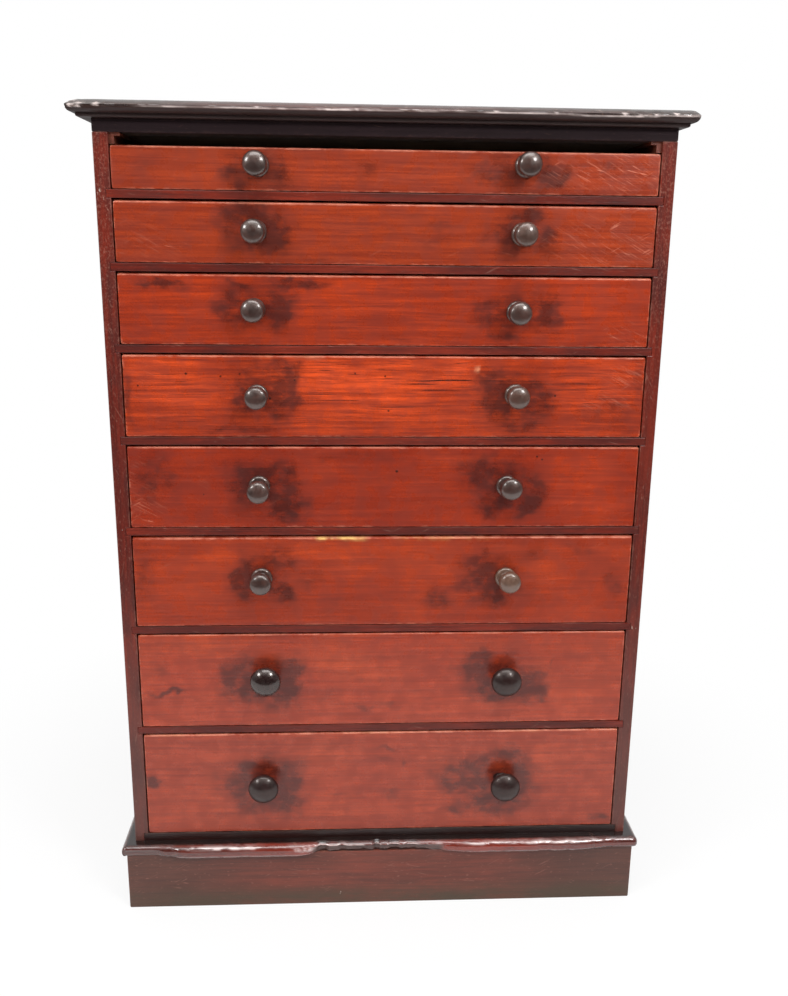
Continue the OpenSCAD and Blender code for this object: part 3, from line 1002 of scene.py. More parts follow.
@dataclass(frozen=True)
class PolishedTurning:
    """Dark turned wood, polished by hands."""

    name: str
    body: Colour
    bright: Colour
    roughness: float
    coat: float
    shine: float = 0.5
    coat_rough: float = 0.1
    deep: Colour = srgb(30, 18, 16)
    pale: Colour = srgb(134, 98, 76)
    tint: Colour = (1.0, 0.86, 0.8)
    coat_tint: Colour = (0.97, 1.0, 0.98)

    def build(self, effects: Effects) -> bpy.types.Material:
        """The finish of all the knobs of one size.

        Args:
            effects: The shared effects.

        Returns:
            The material.
        """
        g = Surface(self.name)
        patina = g.group(effects.patina, {"Point": g.at, "Size": 70.0})
        grain = g.group(effects.grain, {"Point": g.at, "Wander": 2 * MM})
        dull = g.painted("dull")
        colour = g.stained(
            g.mix(g.times(patina["Clouds"], 0.6), self.body, self.bright),
            (grain["Fibre"], 0.35, self.deep),
            (g.painted("pale"), g.span(patina["Mottle"], 0.0, 1.0, 0.7, 1.0), self.pale),
        )
        rough = g.span(patina["Mottle"], 0.0, 1.0, self.roughness - 0.05, self.roughness + 0.1)
        values = {
            "Base Color": colour,
            "Roughness": g.total(rough, (dull, 0.12)),
            "Specular IOR Level": self.shine,
            "Specular Tint": self.tint,
            "Coat Weight": g.span(dull, 0.0, 1.0, self.coat, 0.25 * self.coat),
            "Coat Roughness": self.coat_rough,
            "Coat Tint": self.coat_tint,
        }
        return g.finish(values, patina["Mottle"], 0.07, 0.4 * MM)


@dataclass(frozen=True)
class RustedIron:
    """Old cut nails."""

    grey: Colour = srgb(56, 48, 44)
    rust: Colour = srgb(96, 58, 40)

    def build(self, effects: Effects) -> bpy.types.Material:
        """The finish of the nail heads.

        Args:
            effects: The shared effects.

        Returns:
            The material.
        """
        g = Surface("rusted iron")
        patina = g.group(effects.patina, {"Point": g.at, "Size": 160.0})
        values = {
            "Base Color": g.mix(patina["Clouds"], self.grey, self.rust),
            "Roughness": g.span(patina["Mottle"], 0.0, 1.0, 0.5, 0.8),
            "Metallic": 0.7,
        }
        return g.finish(values, patina["Mottle"], 0.4, 0.4 * MM)


# Sub-assemblies


@dataclass(frozen=True)
class FrontLook:
    """What time and hands have left on one drawer front, with painted shadows of its knobs among the dark patches.

    Patches are in millimetres from the middle of the front and up from its lower edge. Pits have
    a place and a radius. Chips have a place along an edge, a half length and a depth.
    """

    smudges: tuple[Patch, ...]
    glows: tuple[Patch, ...]
    scuffs: tuple[Patch, ...] = ()
    chips: tuple[Patch, ...] = ()
    pits: tuple[Break, ...] = ()
    body: Colour = srgb(150, 56, 39)
    bright: Colour = srgb(178, 68, 41)
    bare: Colour = srgb(206, 134, 96)
    open_grain: float = 0.25
    streaks: float = 0.12
    planed: float = 1.4
    sheen: float = 0.34
    # Strength of the pale top edge, partly a painted highlight.
    rubbed: float = 0.5
    fibre: float = 0.5
    wander: float = 4 * MM


# The dark patches include painted shadows that the knobs cast beside and below them.
LOOKS = (
    FrontLook(
        smudges=(
            (-21, 19, 12, 14, 0.35), (92, 20, 22, 18, 0.3), (150, 18, 12, 14, 0.6), (203, 28, 9, 8, 0.35),
            (-101, 14, 11, 11, 0.35), (-140, 14, 12, 10, 0.25), (-225, 20, 40, 20, 0.2),
        ),
        glows=((-175, 15, 45, 12, 0.35), (-60, 20, 50, 15, 0.4), (40, 12, 60, 10, 0.35), (100, 32, 24, 6, 0.2)),
        scuffs=((205, 20, 60, 20, 1.0),),
        body=srgb(152, 58, 32),
        bright=srgb(174, 67, 34),
        planed=0.9,
    ),
    FrontLook(
        smudges=(
            (-140, 45, 22, 12, 0.5), (-105, 28, 14, 16, 0.6), (-130, 20, 30, 10, 0.25), (135, 48, 18, 8, 0.5),
            (112, 22, 14, 12, 0.45), (155, 22, 10, 12, 0.5), (45, 30, 22, 20, 0.2), (-70, 8, 20, 7, 0.25),
            (20, 40, 30, 10, 0.15),
        ),
        glows=((-30, 35, 60, 15, 0.4), (60, 15, 50, 12, 0.3), (200, 20, 30, 14, 0.2), (-200, 20, 40, 15, 0.15)),
        scuffs=((205, 22, 50, 20, 0.8), (-215, 20, 25, 18, 0.3)),
        body=srgb(155, 57, 28),
        bright=srgb(175, 66, 29),
        planed=1.6,
    ),
    FrontLook(
        smudges=(
            (-217, 56, 27, 6, 0.7), (-148, 57, 10, 5, 0.5), (-80, 60, 34, 5, 0.5), (-155, 36, 15, 18, 0.4),
            (-105, 34, 12, 20, 0.65), (95, 33, 16, 16, 0.35), (115, 14, 12, 8, 0.45), (157, 33, 13, 18, 0.65),
            (0, 10, 60, 8, 0.2), (215, 50, 25, 10, 0.15), (40, 58, 50, 6, 0.2),
        ),
        glows=(
            (-180, 40, 20, 22, 0.35), (-40, 40, 50, 14, 0.55), (200, 28, 45, 18, 0.4), (40, 25, 40, 14, 0.3),
            (-215, 20, 30, 10, 0.2),
        ),
        scuffs=((235, 12, 20, 12, 0.6),),
        body=srgb(162, 53, 23),
        bright=srgb(191, 64, 24),
        planed=1.6,
    ),
    FrontLook(
        smudges=(
            (-145, 45, 14, 22, 0.35), (-103, 40, 16, 26, 0.6), (-92, 66, 10, 12, 0.35), (102, 46, 20, 28, 0.58),
            (152, 38, 18, 25, 0.48), (135, 10, 20, 8, 0.5), (-150, 6, 60, 9, 0.3), (225, 20, 40, 20, 0.3),
            (-252, 40, 8, 40, 0.35), (250, 60, 8, 20, 0.3), (-120, 74, 30, 8, 0.3),
        ),
        glows=(
            (-10, 54, 90, 24, 1.0), (-205, 48, 40, 22, 0.7), (60, 62, 30, 12, 0.7), (200, 50, 40, 18, 0.35),
            (0, 20, 90, 12, 0.4), (-215, 70, 30, 8, 0.4),
        ),
        scuffs=((236, 62, 22, 12, 0.6), (225, 34, 24, 8, 0.6), (-235, 60, 18, 15, 0.2)),
        chips=((-95, 79.1, 30, 1.0, 0.35), (-256, 45, 1.4, 30, 0.25), (88.5, 67.5, 1.7, 2.2, 0.8)),
        pits=(
            (-194.6, 61.8, 1.2), (-161.4, 59.3, 1.0), (-142.9, 61.8, 0.9), (-114.3, 37.9, 1.1), (-1.8, 60, 0.9),
            (-31, 62.9, 0.8), (1.8, 26.1, 1.0), (166.8, 41.5, 1.1), (-241, 50, 0.9), (-90, 56, 0.8),
        ),
        body=srgb(170, 56, 22),
        bright=srgb(228, 82, 32),
        open_grain=0.85,
        streaks=0.25,
        fibre=0.55,
        wander=0.009,
    ),
    FrontLook(
        smudges=(
            (-121, 59, 26, 8, 0.6), (-150, 45, 13, 20, 0.5), (-98, 24, 19, 20, 0.6), (-93, 48, 12, 12, 0.35),
            (98, 57, 27, 18, 0.55), (112, 20, 22, 15, 0.5), (145.7, 23, 8, 10, 0.75), (154, 38, 12, 15, 0.35),
            (-232, 50, 28, 30, 0.35), (60, 35, 60, 15, 0.15), (-40, 74, 60, 6, 0.25),
        ),
        glows=(
            (80, 70, 38, 7, 0.7), (-10, 50, 60, 14, 0.3), (190, 55, 45, 26, 0.75), (-72, 60, 20, 10, 0.35),
            (215, 15, 40, 18, 0.6), (-40, 15, 60, 10, 0.2),
        ),
        scuffs=((-186, 46, 6, 4, 0.8), (-238, 18, 16, 18, 0.7), (-246, 55, 8, 30, 0.35)),
        pits=((10.7, 57.9, 1.3), (151.8, 72.9, 1.0), (157, 70, 1.0), (-182, 34, 0.7)),
        fibre=0.36,
        body=srgb(143, 43, 20),
        bright=srgb(183, 61, 24),
    ),
    FrontLook(
        smudges=(
            (-143, 52.7, 12, 26, 0.5), (-105, 34, 13, 12, 0.6), (-107, 74, 18, 13, 0.4), (-75, 50, 14, 18, 0.25),
            (93, 54, 26, 26, 0.5), (114, 29, 14, 8, 0.45), (52, 29, 16, 12, 0.5), (200, 79, 16, 10, 0.35),
            (239, 43, 15, 20, 0.35), (-40, 25, 50, 10, 0.2), (160, 80, 16, 12, 0.3), (-245, 60, 15, 40, 0.3),
        ),
        glows=(
            (-168, 76, 22, 13, 0.55), (-64, 78, 44, 10, 0.55), (-200, 45, 30, 20, 0.3), (36, 72, 30, 10, 0.4),
            (168, 54, 22, 20, 0.45), (-30, 60, 40, 12, 0.35), (0, 15, 70, 8, 0.2),
        ),
        chips=((-46, 93.7, 26, 1.2, 1.0), (60, 93.9, 45, 0.7, 0.25)),
        fibre=0.36,
        body=srgb(160, 54, 25),
        bright=srgb(195, 70, 28),
        planed=2.5,
        bare=srgb(222, 178, 104),
    ),
    FrontLook(
        smudges=(
            (-225, 39.7, 22, 3, 0.65), (-237, 66, 16, 12, 0.25), (-150, 51, 23, 28, 0.5), (-104, 43, 22, 26, 0.55),
            (-96, 66, 12, 16, 0.35), (-18, 21, 38, 5, 0.35), (-57, 35, 20, 10, 0.25), (100, 64, 25, 20, 0.55),
            (134, 34, 36, 14, 0.55), (164, 46, 18, 20, 0.4), (46, 25, 6, 2, 0.4), (-25, 53, 40, 6, 0.2),
            (21, 44, 30, 8, 0.2), (181, 70, 3, 7, 0.4),
        ),
        glows=(
            (-60, 73, 60, 14, 0.5), (-193, 91, 40, 8, 0.35), (-10, 60, 40, 12, 0.3), (111, 91, 40, 8, 0.3),
            (200, 30, 40, 20, 0.2), (-180, 30, 25, 16, 0.25),
        ),
        scuffs=((151, 55, 9, 3, 0.9),),
        body=srgb(168, 59, 30),
        bright=srgb(198, 78, 36),
        planed=1.0,
        sheen=0.5,
        fibre=0.38,
    ),
    FrontLook(
        smudges=(
            (-247, 57.7, 10, 7, 0.75), (-132, 79, 26, 14, 0.3), (-154, 54, 24, 26, 0.45), (-100, 54, 20, 34, 0.58),
            (-132, 29, 24, 10, 0.25), (84, 64, 34, 26, 0.5), (150, 54, 20, 34, 0.48), (129, 90, 24, 10, 0.3),
            (77, 22, 16, 4, 0.5), (118, 27, 34, 13, 0.45), (4, 97, 22, 4, 0.4), (-4, 86, 12, 3, 0.35),
            (20, 81, 4, 7, 0.45), (7, 40, 12, 10, 0.4), (-46, 44, 24, 3, 0.35), (241, 6, 16, 6, 0.55),
            (-180, 18, 60, 12, 0.15),
        ),
        glows=(
            (-182, 54, 18, 40, 0.35), (-75, 90, 40, 12, 0.35), (61, 86, 30, 12, 0.2), (175, 79, 20, 30, 0.3),
            (-43, 25, 70, 12, 0.3),
        ),
        chips=((-225, 116.8, 12, 0.8, 0.4), (-10, 116.8, 18, 0.8, 0.4), (155, 116.8, 14, 0.9, 0.5)),
        body=srgb(165, 61, 33),
        bright=srgb(191, 77, 40),
        sheen=0.5,
        rubbed=0.85,
        fibre=0.38,
    ),
)


@dataclass
class DrawerFront:
    """One drawer front: its worn face over the CAD board's dovetail sockets.

    The face is a grid, and a rounded arris is carried round it. Behind the arris the piece is
    the CAD board itself, cut off where the face's own sides end.
    """

    number: int
    look: FrontLook
    cell: float = 2.6 * MM
    rim: float = 7.0 * MM
    inner_rim: float = 4.6 * MM
    skin: float = 4.2 * MM
    arris: float = 0.7 * MM
    chip: float = 2.0 * MM
    widest: float = 2.6 * MM
    corner: float = 1.4 * MM
    hollow: float = 0.12 * MM
    small_hand: float = 34.0
    large_hand: float = 42.0
    hand_strength: float = 0.38
    middle: np.ndarray = field(init=False)
    half: np.ndarray = field(init=False)

    def build(self, finish: bpy.types.Material) -> bpy.types.Object:
        """Makes the front and stores its marks for the finish.

        Args:
            finish: The front's stain.

        Returns:
            The piece.
        """
        node = f"drawer_{self.number}_front"
        low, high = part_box(node)
        planed = self.look.planed * MM
        self.middle = np.array([(low.x + high.x) / 2, low.y, (low.z + high.z - planed) / 2])
        self.half = np.array([(high.x - low.x) / 2, (high.z - planed - low.z) / 2])
        shell = Shell()
        rows = self._rim_rows()
        shell.add_grid(rows, closed=True)
        shell.add_cap(rows[-1])
        shell.add_grid(self._face())
        self._add_board(shell, node, low.y + self.skin)
        mesh = shell.mesh(f"{node}_board")
        self._mark(mesh)
        return place(mesh, f"drawer_{self.number}", "front_wood", finish, node)

    def _counts(self) -> tuple[int, int]:
        """Cells along the face's width and height."""
        cells = np.round(2 * (self.half - self.rim) / self.cell)
        return tuple(int(n) for n in np.maximum(2, cells))

    def _sunk(self, x: np.ndarray, z: np.ndarray) -> np.ndarray:
        """How far the worn face lies behind the board's front plane: slow noise."""
        at = np.stack([x / 0.06, z / 0.03], -1)
        return self.hollow * (0.4 + 1.2 * fractal_noise(at, 500 + self.number, 3))

    def _place(self, x: np.ndarray, depth: np.ndarray, z: np.ndarray) -> np.ndarray:
        """Points in the row frame from places on the front."""
        return np.stack([self.middle[0] + x, self.middle[1] + depth, self.middle[2] + z], -1)

    def _face(self) -> np.ndarray:
        """The inner face: a grid of equal cells.

        Returns:
            Points of shape (rows, columns, 3).
        """
        sides = [np.linspace(-end, end, count + 1) for end, count in zip(self.half - self.rim, self._counts())]
        x, z = np.meshgrid(*sides)
        return self._place(x, self._sunk(x, z), z)

    def _loop(self) -> np.ndarray:
        """Places round a square of half width 1, in the steps of the inner face.

        Returns:
            Places of shape (n, 2).
        """
        u, v = (np.linspace(-1, 1, count + 1)[:-1] for count in self._counts())
        lower = np.stack([u, -np.ones_like(u)], -1)
        right = np.stack([np.ones_like(v), v], -1)
        return np.concatenate([lower, right, -lower, -right])

    def _wear(self, loop: np.ndarray) -> np.ndarray:
        """Radius of the arris round the face: noise, and more where the edge is chipped.

        Args:
            loop: Places round the face, from -1 to 1.

        Returns:
            One radius in metres for each place.
        """
        at = loop * self.half / MM
        up = at[:, 1] + self.half[1] / MM
        ragged = fractal_noise(at / 9, 80 + self.number, 4)
        radius = self.arris * (0.55 + 1.3 * ragged**2)
        for x, z, half_x, half_z, strength in self.look.chips:
            along = hump(at[:, 0], x, half_x, 6) if half_x > half_z else 1.0
            beside = hump(up, z, max(half_z, 1.0), 6)
            radius = radius + self.chip * strength * along * beside * (0.4 + ragged)
        return np.minimum(radius, self.widest)

    def _rim_rows(self) -> np.ndarray:
        """The rim: rows from the inner face to the arris, round it, and back along the sides.

        A row lies at an offset inside the outline and at a depth. Round the arris these are
        radius * (1 - sin a) and radius * (1 - cos a). The top edge is planed off towards the
        face, so it rises again with the depth.

        Returns:
            Points of shape (rows, places, 3).
        """
        loop = self._loop()
        radius = self._wear(loop)
        none = 0 * radius
        steps = [(self.rim + none, none), (self.inner_rim + none, none)]
        steps += [(radius * (1 - math.sin(a)), radius * (1 - math.cos(a))) for a in np.linspace(0, math.pi / 2, 6)]
        steps += [(none, radius + (self.skin - radius) * part) for part in (0.5, 1.0)]
        edge_x, edge_z = self.half - self.corner
        rows = []
        for offset, depth in steps:
            x = loop[:, 0] * (self.half[0] - offset)
            z = loop[:, 1] * (self.half[1] - offset)
            moved_x, moved_z = eased_corner(np.abs(x) - edge_x, np.abs(z) - edge_z)
            x = np.sign(x) * (edge_x + moved_x)
            z = np.sign(z) * (edge_z + moved_z)
            z = z + self.look.planed * MM * np.clip(depth / self.skin, 0, 1) * np.clip(z / self.half[1], 0, 1)
            sunk = self._sunk(x, z) * np.clip(1 - depth / self.arris, 0, 1)
            rows.append(self._place(x, depth + sunk, z))
        return np.stack(rows)

    @staticmethod
    def _add_board(shell: Shell, node: str, cut_y: float) -> None:
        """Adds the CAD board behind a cut, closed on the cut.

        Args:
            shell: The piece that is being made.
            node: The board's node.
            cut_y: Where the cut lies, in metres.
        """
        work = bmesh.new()
        work.from_mesh(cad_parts[node].data)
        bmesh.ops.remove_doubles(work, verts=work.verts, dist=SAME_PLACE)
        parts = work.verts[:] + work.edges[:] + work.faces[:]
        cut = bmesh.ops.bisect_plane(
            work, geom=parts, dist=1e-7, plane_co=(0, cut_y, 0), plane_no=(0, 1, 0), clear_inner=True
        )
        edges = [e for e in cut["geom_cut"] if isinstance(e, bmesh.types.BMEdge)]
        bmesh.ops.triangle_fill(work, use_beauty=True, edges=edges, normal=(0, -1, 0))
        board = bpy.data.meshes.new("board behind the cut")
        work.to_mesh(board)
        work.free()
        shell.add(points_of(board), [list(face.vertices) for face in board.polygons])
        bpy.data.meshes.remove(board)

    def _mark(self, mesh: bpy.types.Mesh) -> None:
        """Stores the grime with the painted shadows of the knobs, the glows, scuffs and bare wood of the face.

        Args:
            mesh: The front's mesh.
        """
        points = points_of(mesh)
        x = (points[:, 0] - self.middle[0]) / MM
        z = (points[:, 2] - self.middle[2] + self.half[1]) / MM
        places = np.stack([x, z], -1)
        wide = self.large_hand if self.number >= FIRST_LARGE else self.small_hand
        knob_z = self.half[1] / MM + 2
        hands = tuple((way * KNOB_X, knob_z, wide, 0.7 * wide, self.hand_strength) for way in (-1, 1))
        seed = 20 * self.number
        bare = np.zeros(len(points))
        ragged = smooth(2.2 * fractal_noise(places / 6, seed + 3, 3) - 0.5)
        for chip_x, chip_z, half_x, half_z, strength in self.look.chips:
            chipped = strength * hump(x, chip_x, half_x, 8) * hump(z, chip_z, 1.3 * half_z, 4)
            bare = np.maximum(bare, chipped * ragged)
        paint(
            mesh,
            smudge=coverage(places, self.look.smudges + hands, seed),
            glow=coverage(places, self.look.glows, seed + 5),
            scuff=coverage(places, self.look.scuffs, seed + 9),
            bare=bare,
        )


@dataclass(frozen=True)
class KnobShape:
    """Half section of a turned knob, in millimetres, as the CAD source has it.

    Its dome reaches highest over the foot. Its head has a radius and a round rim, and is widest
    at a height. Below it come the neck, a bead on the foot and the spigot in the front.
    """

    reach: float
    head_r: float
    rim_r: float
    wide_at: float
    neck_r: float
    bead_r: float
    bead_h: float
    taper: float = 3.0
    cove_r: float = 0.8
    spigot_r: float = 5.0
    spigot_l: float = 16.0

    def section(self) -> np.ndarray:
        """Points of the half section, from the spigot to the dome.

        The dome is an arc that runs smoothly into the round of the rim.

        Returns:
            Radius and distance from the foot of each point, shape (n, 2).
        """
        rim_x = self.head_r - self.rim_r
        rise = self.reach - self.wide_at
        dome_r = (rim_x**2 + rise**2 - self.rim_r**2) / (2 * (rise - self.rim_r))
        meet = math.asin(rim_x / (dome_r - self.rim_r))
        bead = (self.bead_r - self.bead_h / 2, self.bead_h / 2)
        cove = (self.neck_r + self.cove_r, self.bead_h + self.cove_r)
        parts = [
            np.array([(0.0, -self.spigot_l), (self.spigot_r, -self.spigot_l), (self.spigot_r, 0.0)]),
            arc(bead, self.bead_h / 2, math.pi, 0.0, 14),
            arc(cove, self.cove_r, math.pi, 1.5 * math.pi, 5),
            np.array([(self.neck_r, self.wide_at - self.rim_r - self.taper)]),
            arc((rim_x, self.wide_at), self.rim_r, 0.86 * math.pi, meet, 22),
            arc((0.0, self.reach - dome_r), dome_r, meet, 0.0, 14)[1:],
        ]
        return np.concatenate(parts)


SMALL_KNOB = KnobShape(reach=27.0, head_r=11.3, rim_r=5.0, wide_at=20.5, neck_r=6.0, bead_r=11.0, bead_h=6.0)
LARGE_KNOB = KnobShape(reach=25.0, head_r=16.0, rim_r=5.0, wide_at=15.5, neck_r=7.0, bead_r=9.0, bead_h=4.0)
SPIGOT_POINTS = 3


@dataclass(frozen=True)
class Seat:
    """How a knob sits on its front: its shift in millimetres and its lean, across and up, and its wear."""

    shift: Pair = (0.0, 0.0)
    lean: Pair = (0.0, 0.0)
    dull: float = 0.0
    pale: float = 0.0


@dataclass
class KnobPair:
    """The two turned knobs of one drawer, each a little off its place, as hand-bored holes leave them."""

    number: int
    left: Seat
    right: Seat
    sides: int = 64

    def build(self, finish: bpy.types.Material) -> bpy.types.Object:
        """Turns the section round the knobs' axes: radius * (cos, sin) at each distance.

        Args:
            finish: The knobs' polish.

        Returns:
            The piece.
        """
        node = f"drawer_{self.number}_knobs"
        low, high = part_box(node)
        shape = LARGE_KNOB if self.number >= FIRST_LARGE else SMALL_KNOB
        foot_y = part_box(f"drawer_{self.number}_front")[0].y
        axis_z = (low.z + high.z) / 2
        section = shape.section() * MM
        angle = np.linspace(0, 2 * math.pi, self.sides, endpoint=False)
        radius, out = section[:, :1], section[:, 1:]
        outer = (np.arange(len(section)) >= SPIGOT_POINTS)[:, None]
        shell = Shell()
        for way, seat in ((-1, self.left), (1, self.right)):
            off_x, off_z = (
                lean * np.maximum(out, 0) + shift * MM * outer for lean, shift in zip(seat.lean, seat.shift)
            )
            x = way * KNOB_X * MM + radius * np.cos(angle) + off_x
            z = axis_z + radius * np.sin(angle) + off_z
            shell.add_grid(np.stack([x, foot_y - out + 0 * angle, z], -1), closed=True)
        mesh = shell.mesh(f"drawer_{self.number}_knob_pair")
        on_left = points_of(mesh)[:, 0] < 0
        paint(
            mesh,
            dull=np.where(on_left, self.left.dull, self.right.dull),
            pale=np.where(on_left, self.left.pale, self.right.pale),
        )
        return place(mesh, f"drawer_{self.number}", "knob_wood", finish, node)


@dataclass
class TopBoard:
    """The top board: its moulding is carried round three sides and meets itself in mitres.

    Sizes are in millimetres. A nick has a place across and one from front to back, a radius and
    a depth. The pale line along the nose, a painted highlight on its worn arris, has a place across and a height for
    each of its points.
    """

    nose_h: float = 11.5
    nose_in: float = 12.0
    nose_drop: float = 5.2
    nose_low: float = 6.3
    over: float = 16.3
    fillet_over: float = 7.8
    fillet_h: float = 3.6
    fillet_r: float = 1.6
    step: float = 2.4
    corner: float = 6.0
    longer: float = 4.5
    longer_from: float = 40.0
    nicks: tuple[Nick, ...] = (
        (-277, -196, 11, 1.2), (-262, -200, 6, 0.7), (214, -203, 5, 0.8), (228, -203, 3, 0.9), (243, -203, 4, 0.7),
        (150, -203, 3, 0.6), (96, -203, 4, 0.5), (-30, -203, 3, 0.5), (-120, -203, 4, 0.5), (262, -201, 5, 0.6),
    )
    highlight_line: tuple[Pair, ...] = (
        (-216, 9.0), (-79, 8.8), (59, 9.5), (150, 8.4), (197, 7.6), (250, 8.6), (290, 9.4),
    )
    front: float = field(init=False)
    half_w: float = field(init=False)

    def _section(self) -> np.ndarray:
        """Points from the middle of the upper face round the nose to the middle of the lower face.

        Returns:
            A distance inwards from the nose's foremost line and a height for each, shape (n, 2).
        """
        height = self.nose_h + self.fillet_h
        radius, end = crown(self.nose_in, self.nose_drop)
        inset = self.over - self.fillet_over
        parts = [
            np.array([(inward, height) for inward in (self.half_w, 120.0, 50.0, 24.0, 16.0)]),
            arc((self.nose_in, height - radius), radius, 0.0, -end, 16),
            arc((self.nose_low, self.fillet_h + self.nose_low), self.nose_low, -math.pi / 2, -math.pi, 9)[1:],
            np.array([(inset, self.fillet_h)]),
            arc((inset + self.fillet_r, self.fillet_r), self.fillet_r, -math.pi / 2, -math.pi, 5),
            np.array([(inward, 0.0) for inward in (14.0, 24.0, 60.0, self.half_w)]),
        ]
        return np.concatenate(parts)

    def build(self, finish: bpy.types.Material) -> bpy.types.Object:
        """Makes the board and stores where its stain is lost.

        The section is carried along the left side, the front and the right side. Each point's
        distance inwards shortens its line, which mitres the corners.

        Args:
            finish: The board's stain.

        Returns:
            The piece.
        """
        low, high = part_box("top_board")
        self.front, self.half_w, back = low.y / MM, high.x / MM, high.y / MM
        section = self._section()
        inward, height = section[:, 0], section[:, 1]
        deep = np.linspace(0, 1, int((back - self.front) / self.step))[:, None]
        wide = np.linspace(0, 1, int(2 * self.half_w / self.step))[1:-1, None]
        left_x = -self.half_w + inward + 0 * deep
        left_y = back + (self.front + inward - back) * deep
        front_x = (inward - self.half_w) + wide * 2 * (self.half_w - inward)
        front_y = self.front + inward + 0 * wide
        x = np.concatenate([left_x, front_x, -left_x[::-1]])
        y = np.concatenate([left_y, front_y, left_y[::-1]])
        x, y, z = self._worn(x, y, height + 0 * x, section)
        x = x - self.longer * smooth((self.longer_from - self.half_w - x) / self.longer_from)
        grid = np.stack([x, y, low.z / MM + z], -1) * MM
        shell = Shell()
        shell.add_grid(grid)
        shell.add_cap(np.concatenate([grid[0], grid[-1][::-1]]))
        mesh = shell.mesh("top_board_worn", math.radians(50))
        self._mark(mesh, low.z / MM)
        return place(mesh, "case", "top_wood", finish, "top_board")

    def _worn(
        self, x: np.ndarray, y: np.ndarray, z: np.ndarray, section: np.ndarray
    ) -> tuple[np.ndarray, np.ndarray, np.ndarray]:
        """Rubs the moulding down: noise and nicks move each point against its section's normal.

        The normal is the section's tangent after a quarter turn. Then the corners are eased in plan.

        Args:
            x: Places across, one row for each step along the moulding.
            y: Places from front to back.
            z: Heights above the board's lower face.
            section: Points of the section, one for each column.

        Returns:
            The three arrays after wear.
        """
        tangent = np.gradient(section, axis=0)
        tangent /= np.linalg.norm(tangent, axis=1, keepdims=True) + 1e-12
        exposed = hump(section[:, 0], 0.0, 9) * (section[:, 1] > 4)
        at = np.stack([x, y, z], -1)
        rub = 0.9 * np.maximum(0, fractal_noise(at / 5, 11, 3) - 0.45) + 0.25 * fractal_noise(at / 30, 12, 2)
        ragged = 0.5 + fractal_noise(at / 2.5, 17, 2)
        for nick_x, nick_y, radius, depth in self.nicks:
            near = np.hypot(x - nick_x, y - nick_y) / radius
            rub = rub + depth * smooth(1.4 - near) * ragged * (z > 7)
        rub = rub * exposed
        corner_x, corner_y = self.half_w - self.corner, self.front + self.corner
        inward = tangent[:, 1] * rub
        side = np.abs(x) - self.half_w > self.front - y
        x = np.where(side, x + np.sign(x) * inward, x)
        y = np.where(side, y, y - inward)
        z = z + tangent[:, 0] * rub
        moved_x, moved_y = eased_corner(np.abs(x) - corner_x, corner_y - y)
        return np.sign(x) * (corner_x + moved_x), corner_y - moved_y, z

    def _mark(self, mesh: bpy.types.Mesh, low: float) -> None:
        """Stores the pale line along the nose, a painted highlight on its worn arris, the chips, and the painted shade
        under the moulding.

        Args:
            mesh: The board's mesh.
            low: The height of its lower face.
        """
        points = points_of(mesh) / MM
        across, out, up = points.T
        up = up - low
        ragged = fractal_noise(points / 4, 31, 3)
        # The pale line along the nose is a painted highlight on the nose's worn arris.
        line = np.interp(across, *np.transpose(self.highlight_line))
        line = line + 0.8 * (fractal_noise(points / (14, 9, 9), 35, 3) - 0.5)
        arris = hump(up, line, 0.5) * (out < self.front + 6)
        kept = 0.35 + 0.65 * smooth(3.4 * fractal_noise(points / (16, 9, 9), 33, 3) - 1.0)
        strong = smooth((across + 100) / 30) * smooth((85 - across) / 30) + smooth((across - 205) / 20)
        bare = arris * kept * (0.6 + 0.4 * strong) * smooth((across + 235) / 25)
        near = np.hypot((across + 286) / 9, (out + 200) / 6)
        bare = np.maximum(bare, smooth((1.25 - near) * 2.0) * smooth(4 * ragged - 1.9) * (up > 7))
        for nick_x, nick_y, radius, _ in self.nicks:
            near = np.hypot(across - nick_x, out - nick_y) / (0.6 * radius)
            bare = np.maximum(bare, 0.6 * smooth((1 - near) * 2 + ragged - 0.5) * (np.abs(up - 10) < 1.6))
        # Below the pale line the moulding is painted dark: painted shade under the nose.
        paint(mesh, bare=bare, torn=0 * bare, soot=smooth((line - 0.3 - up) / 2.2))


class CapSide(Enum):
    """The three lengths of the cap moulding."""

    FRONT = "cap_front"
    LEFT = "cap_left"
    RIGHT = "cap_right"


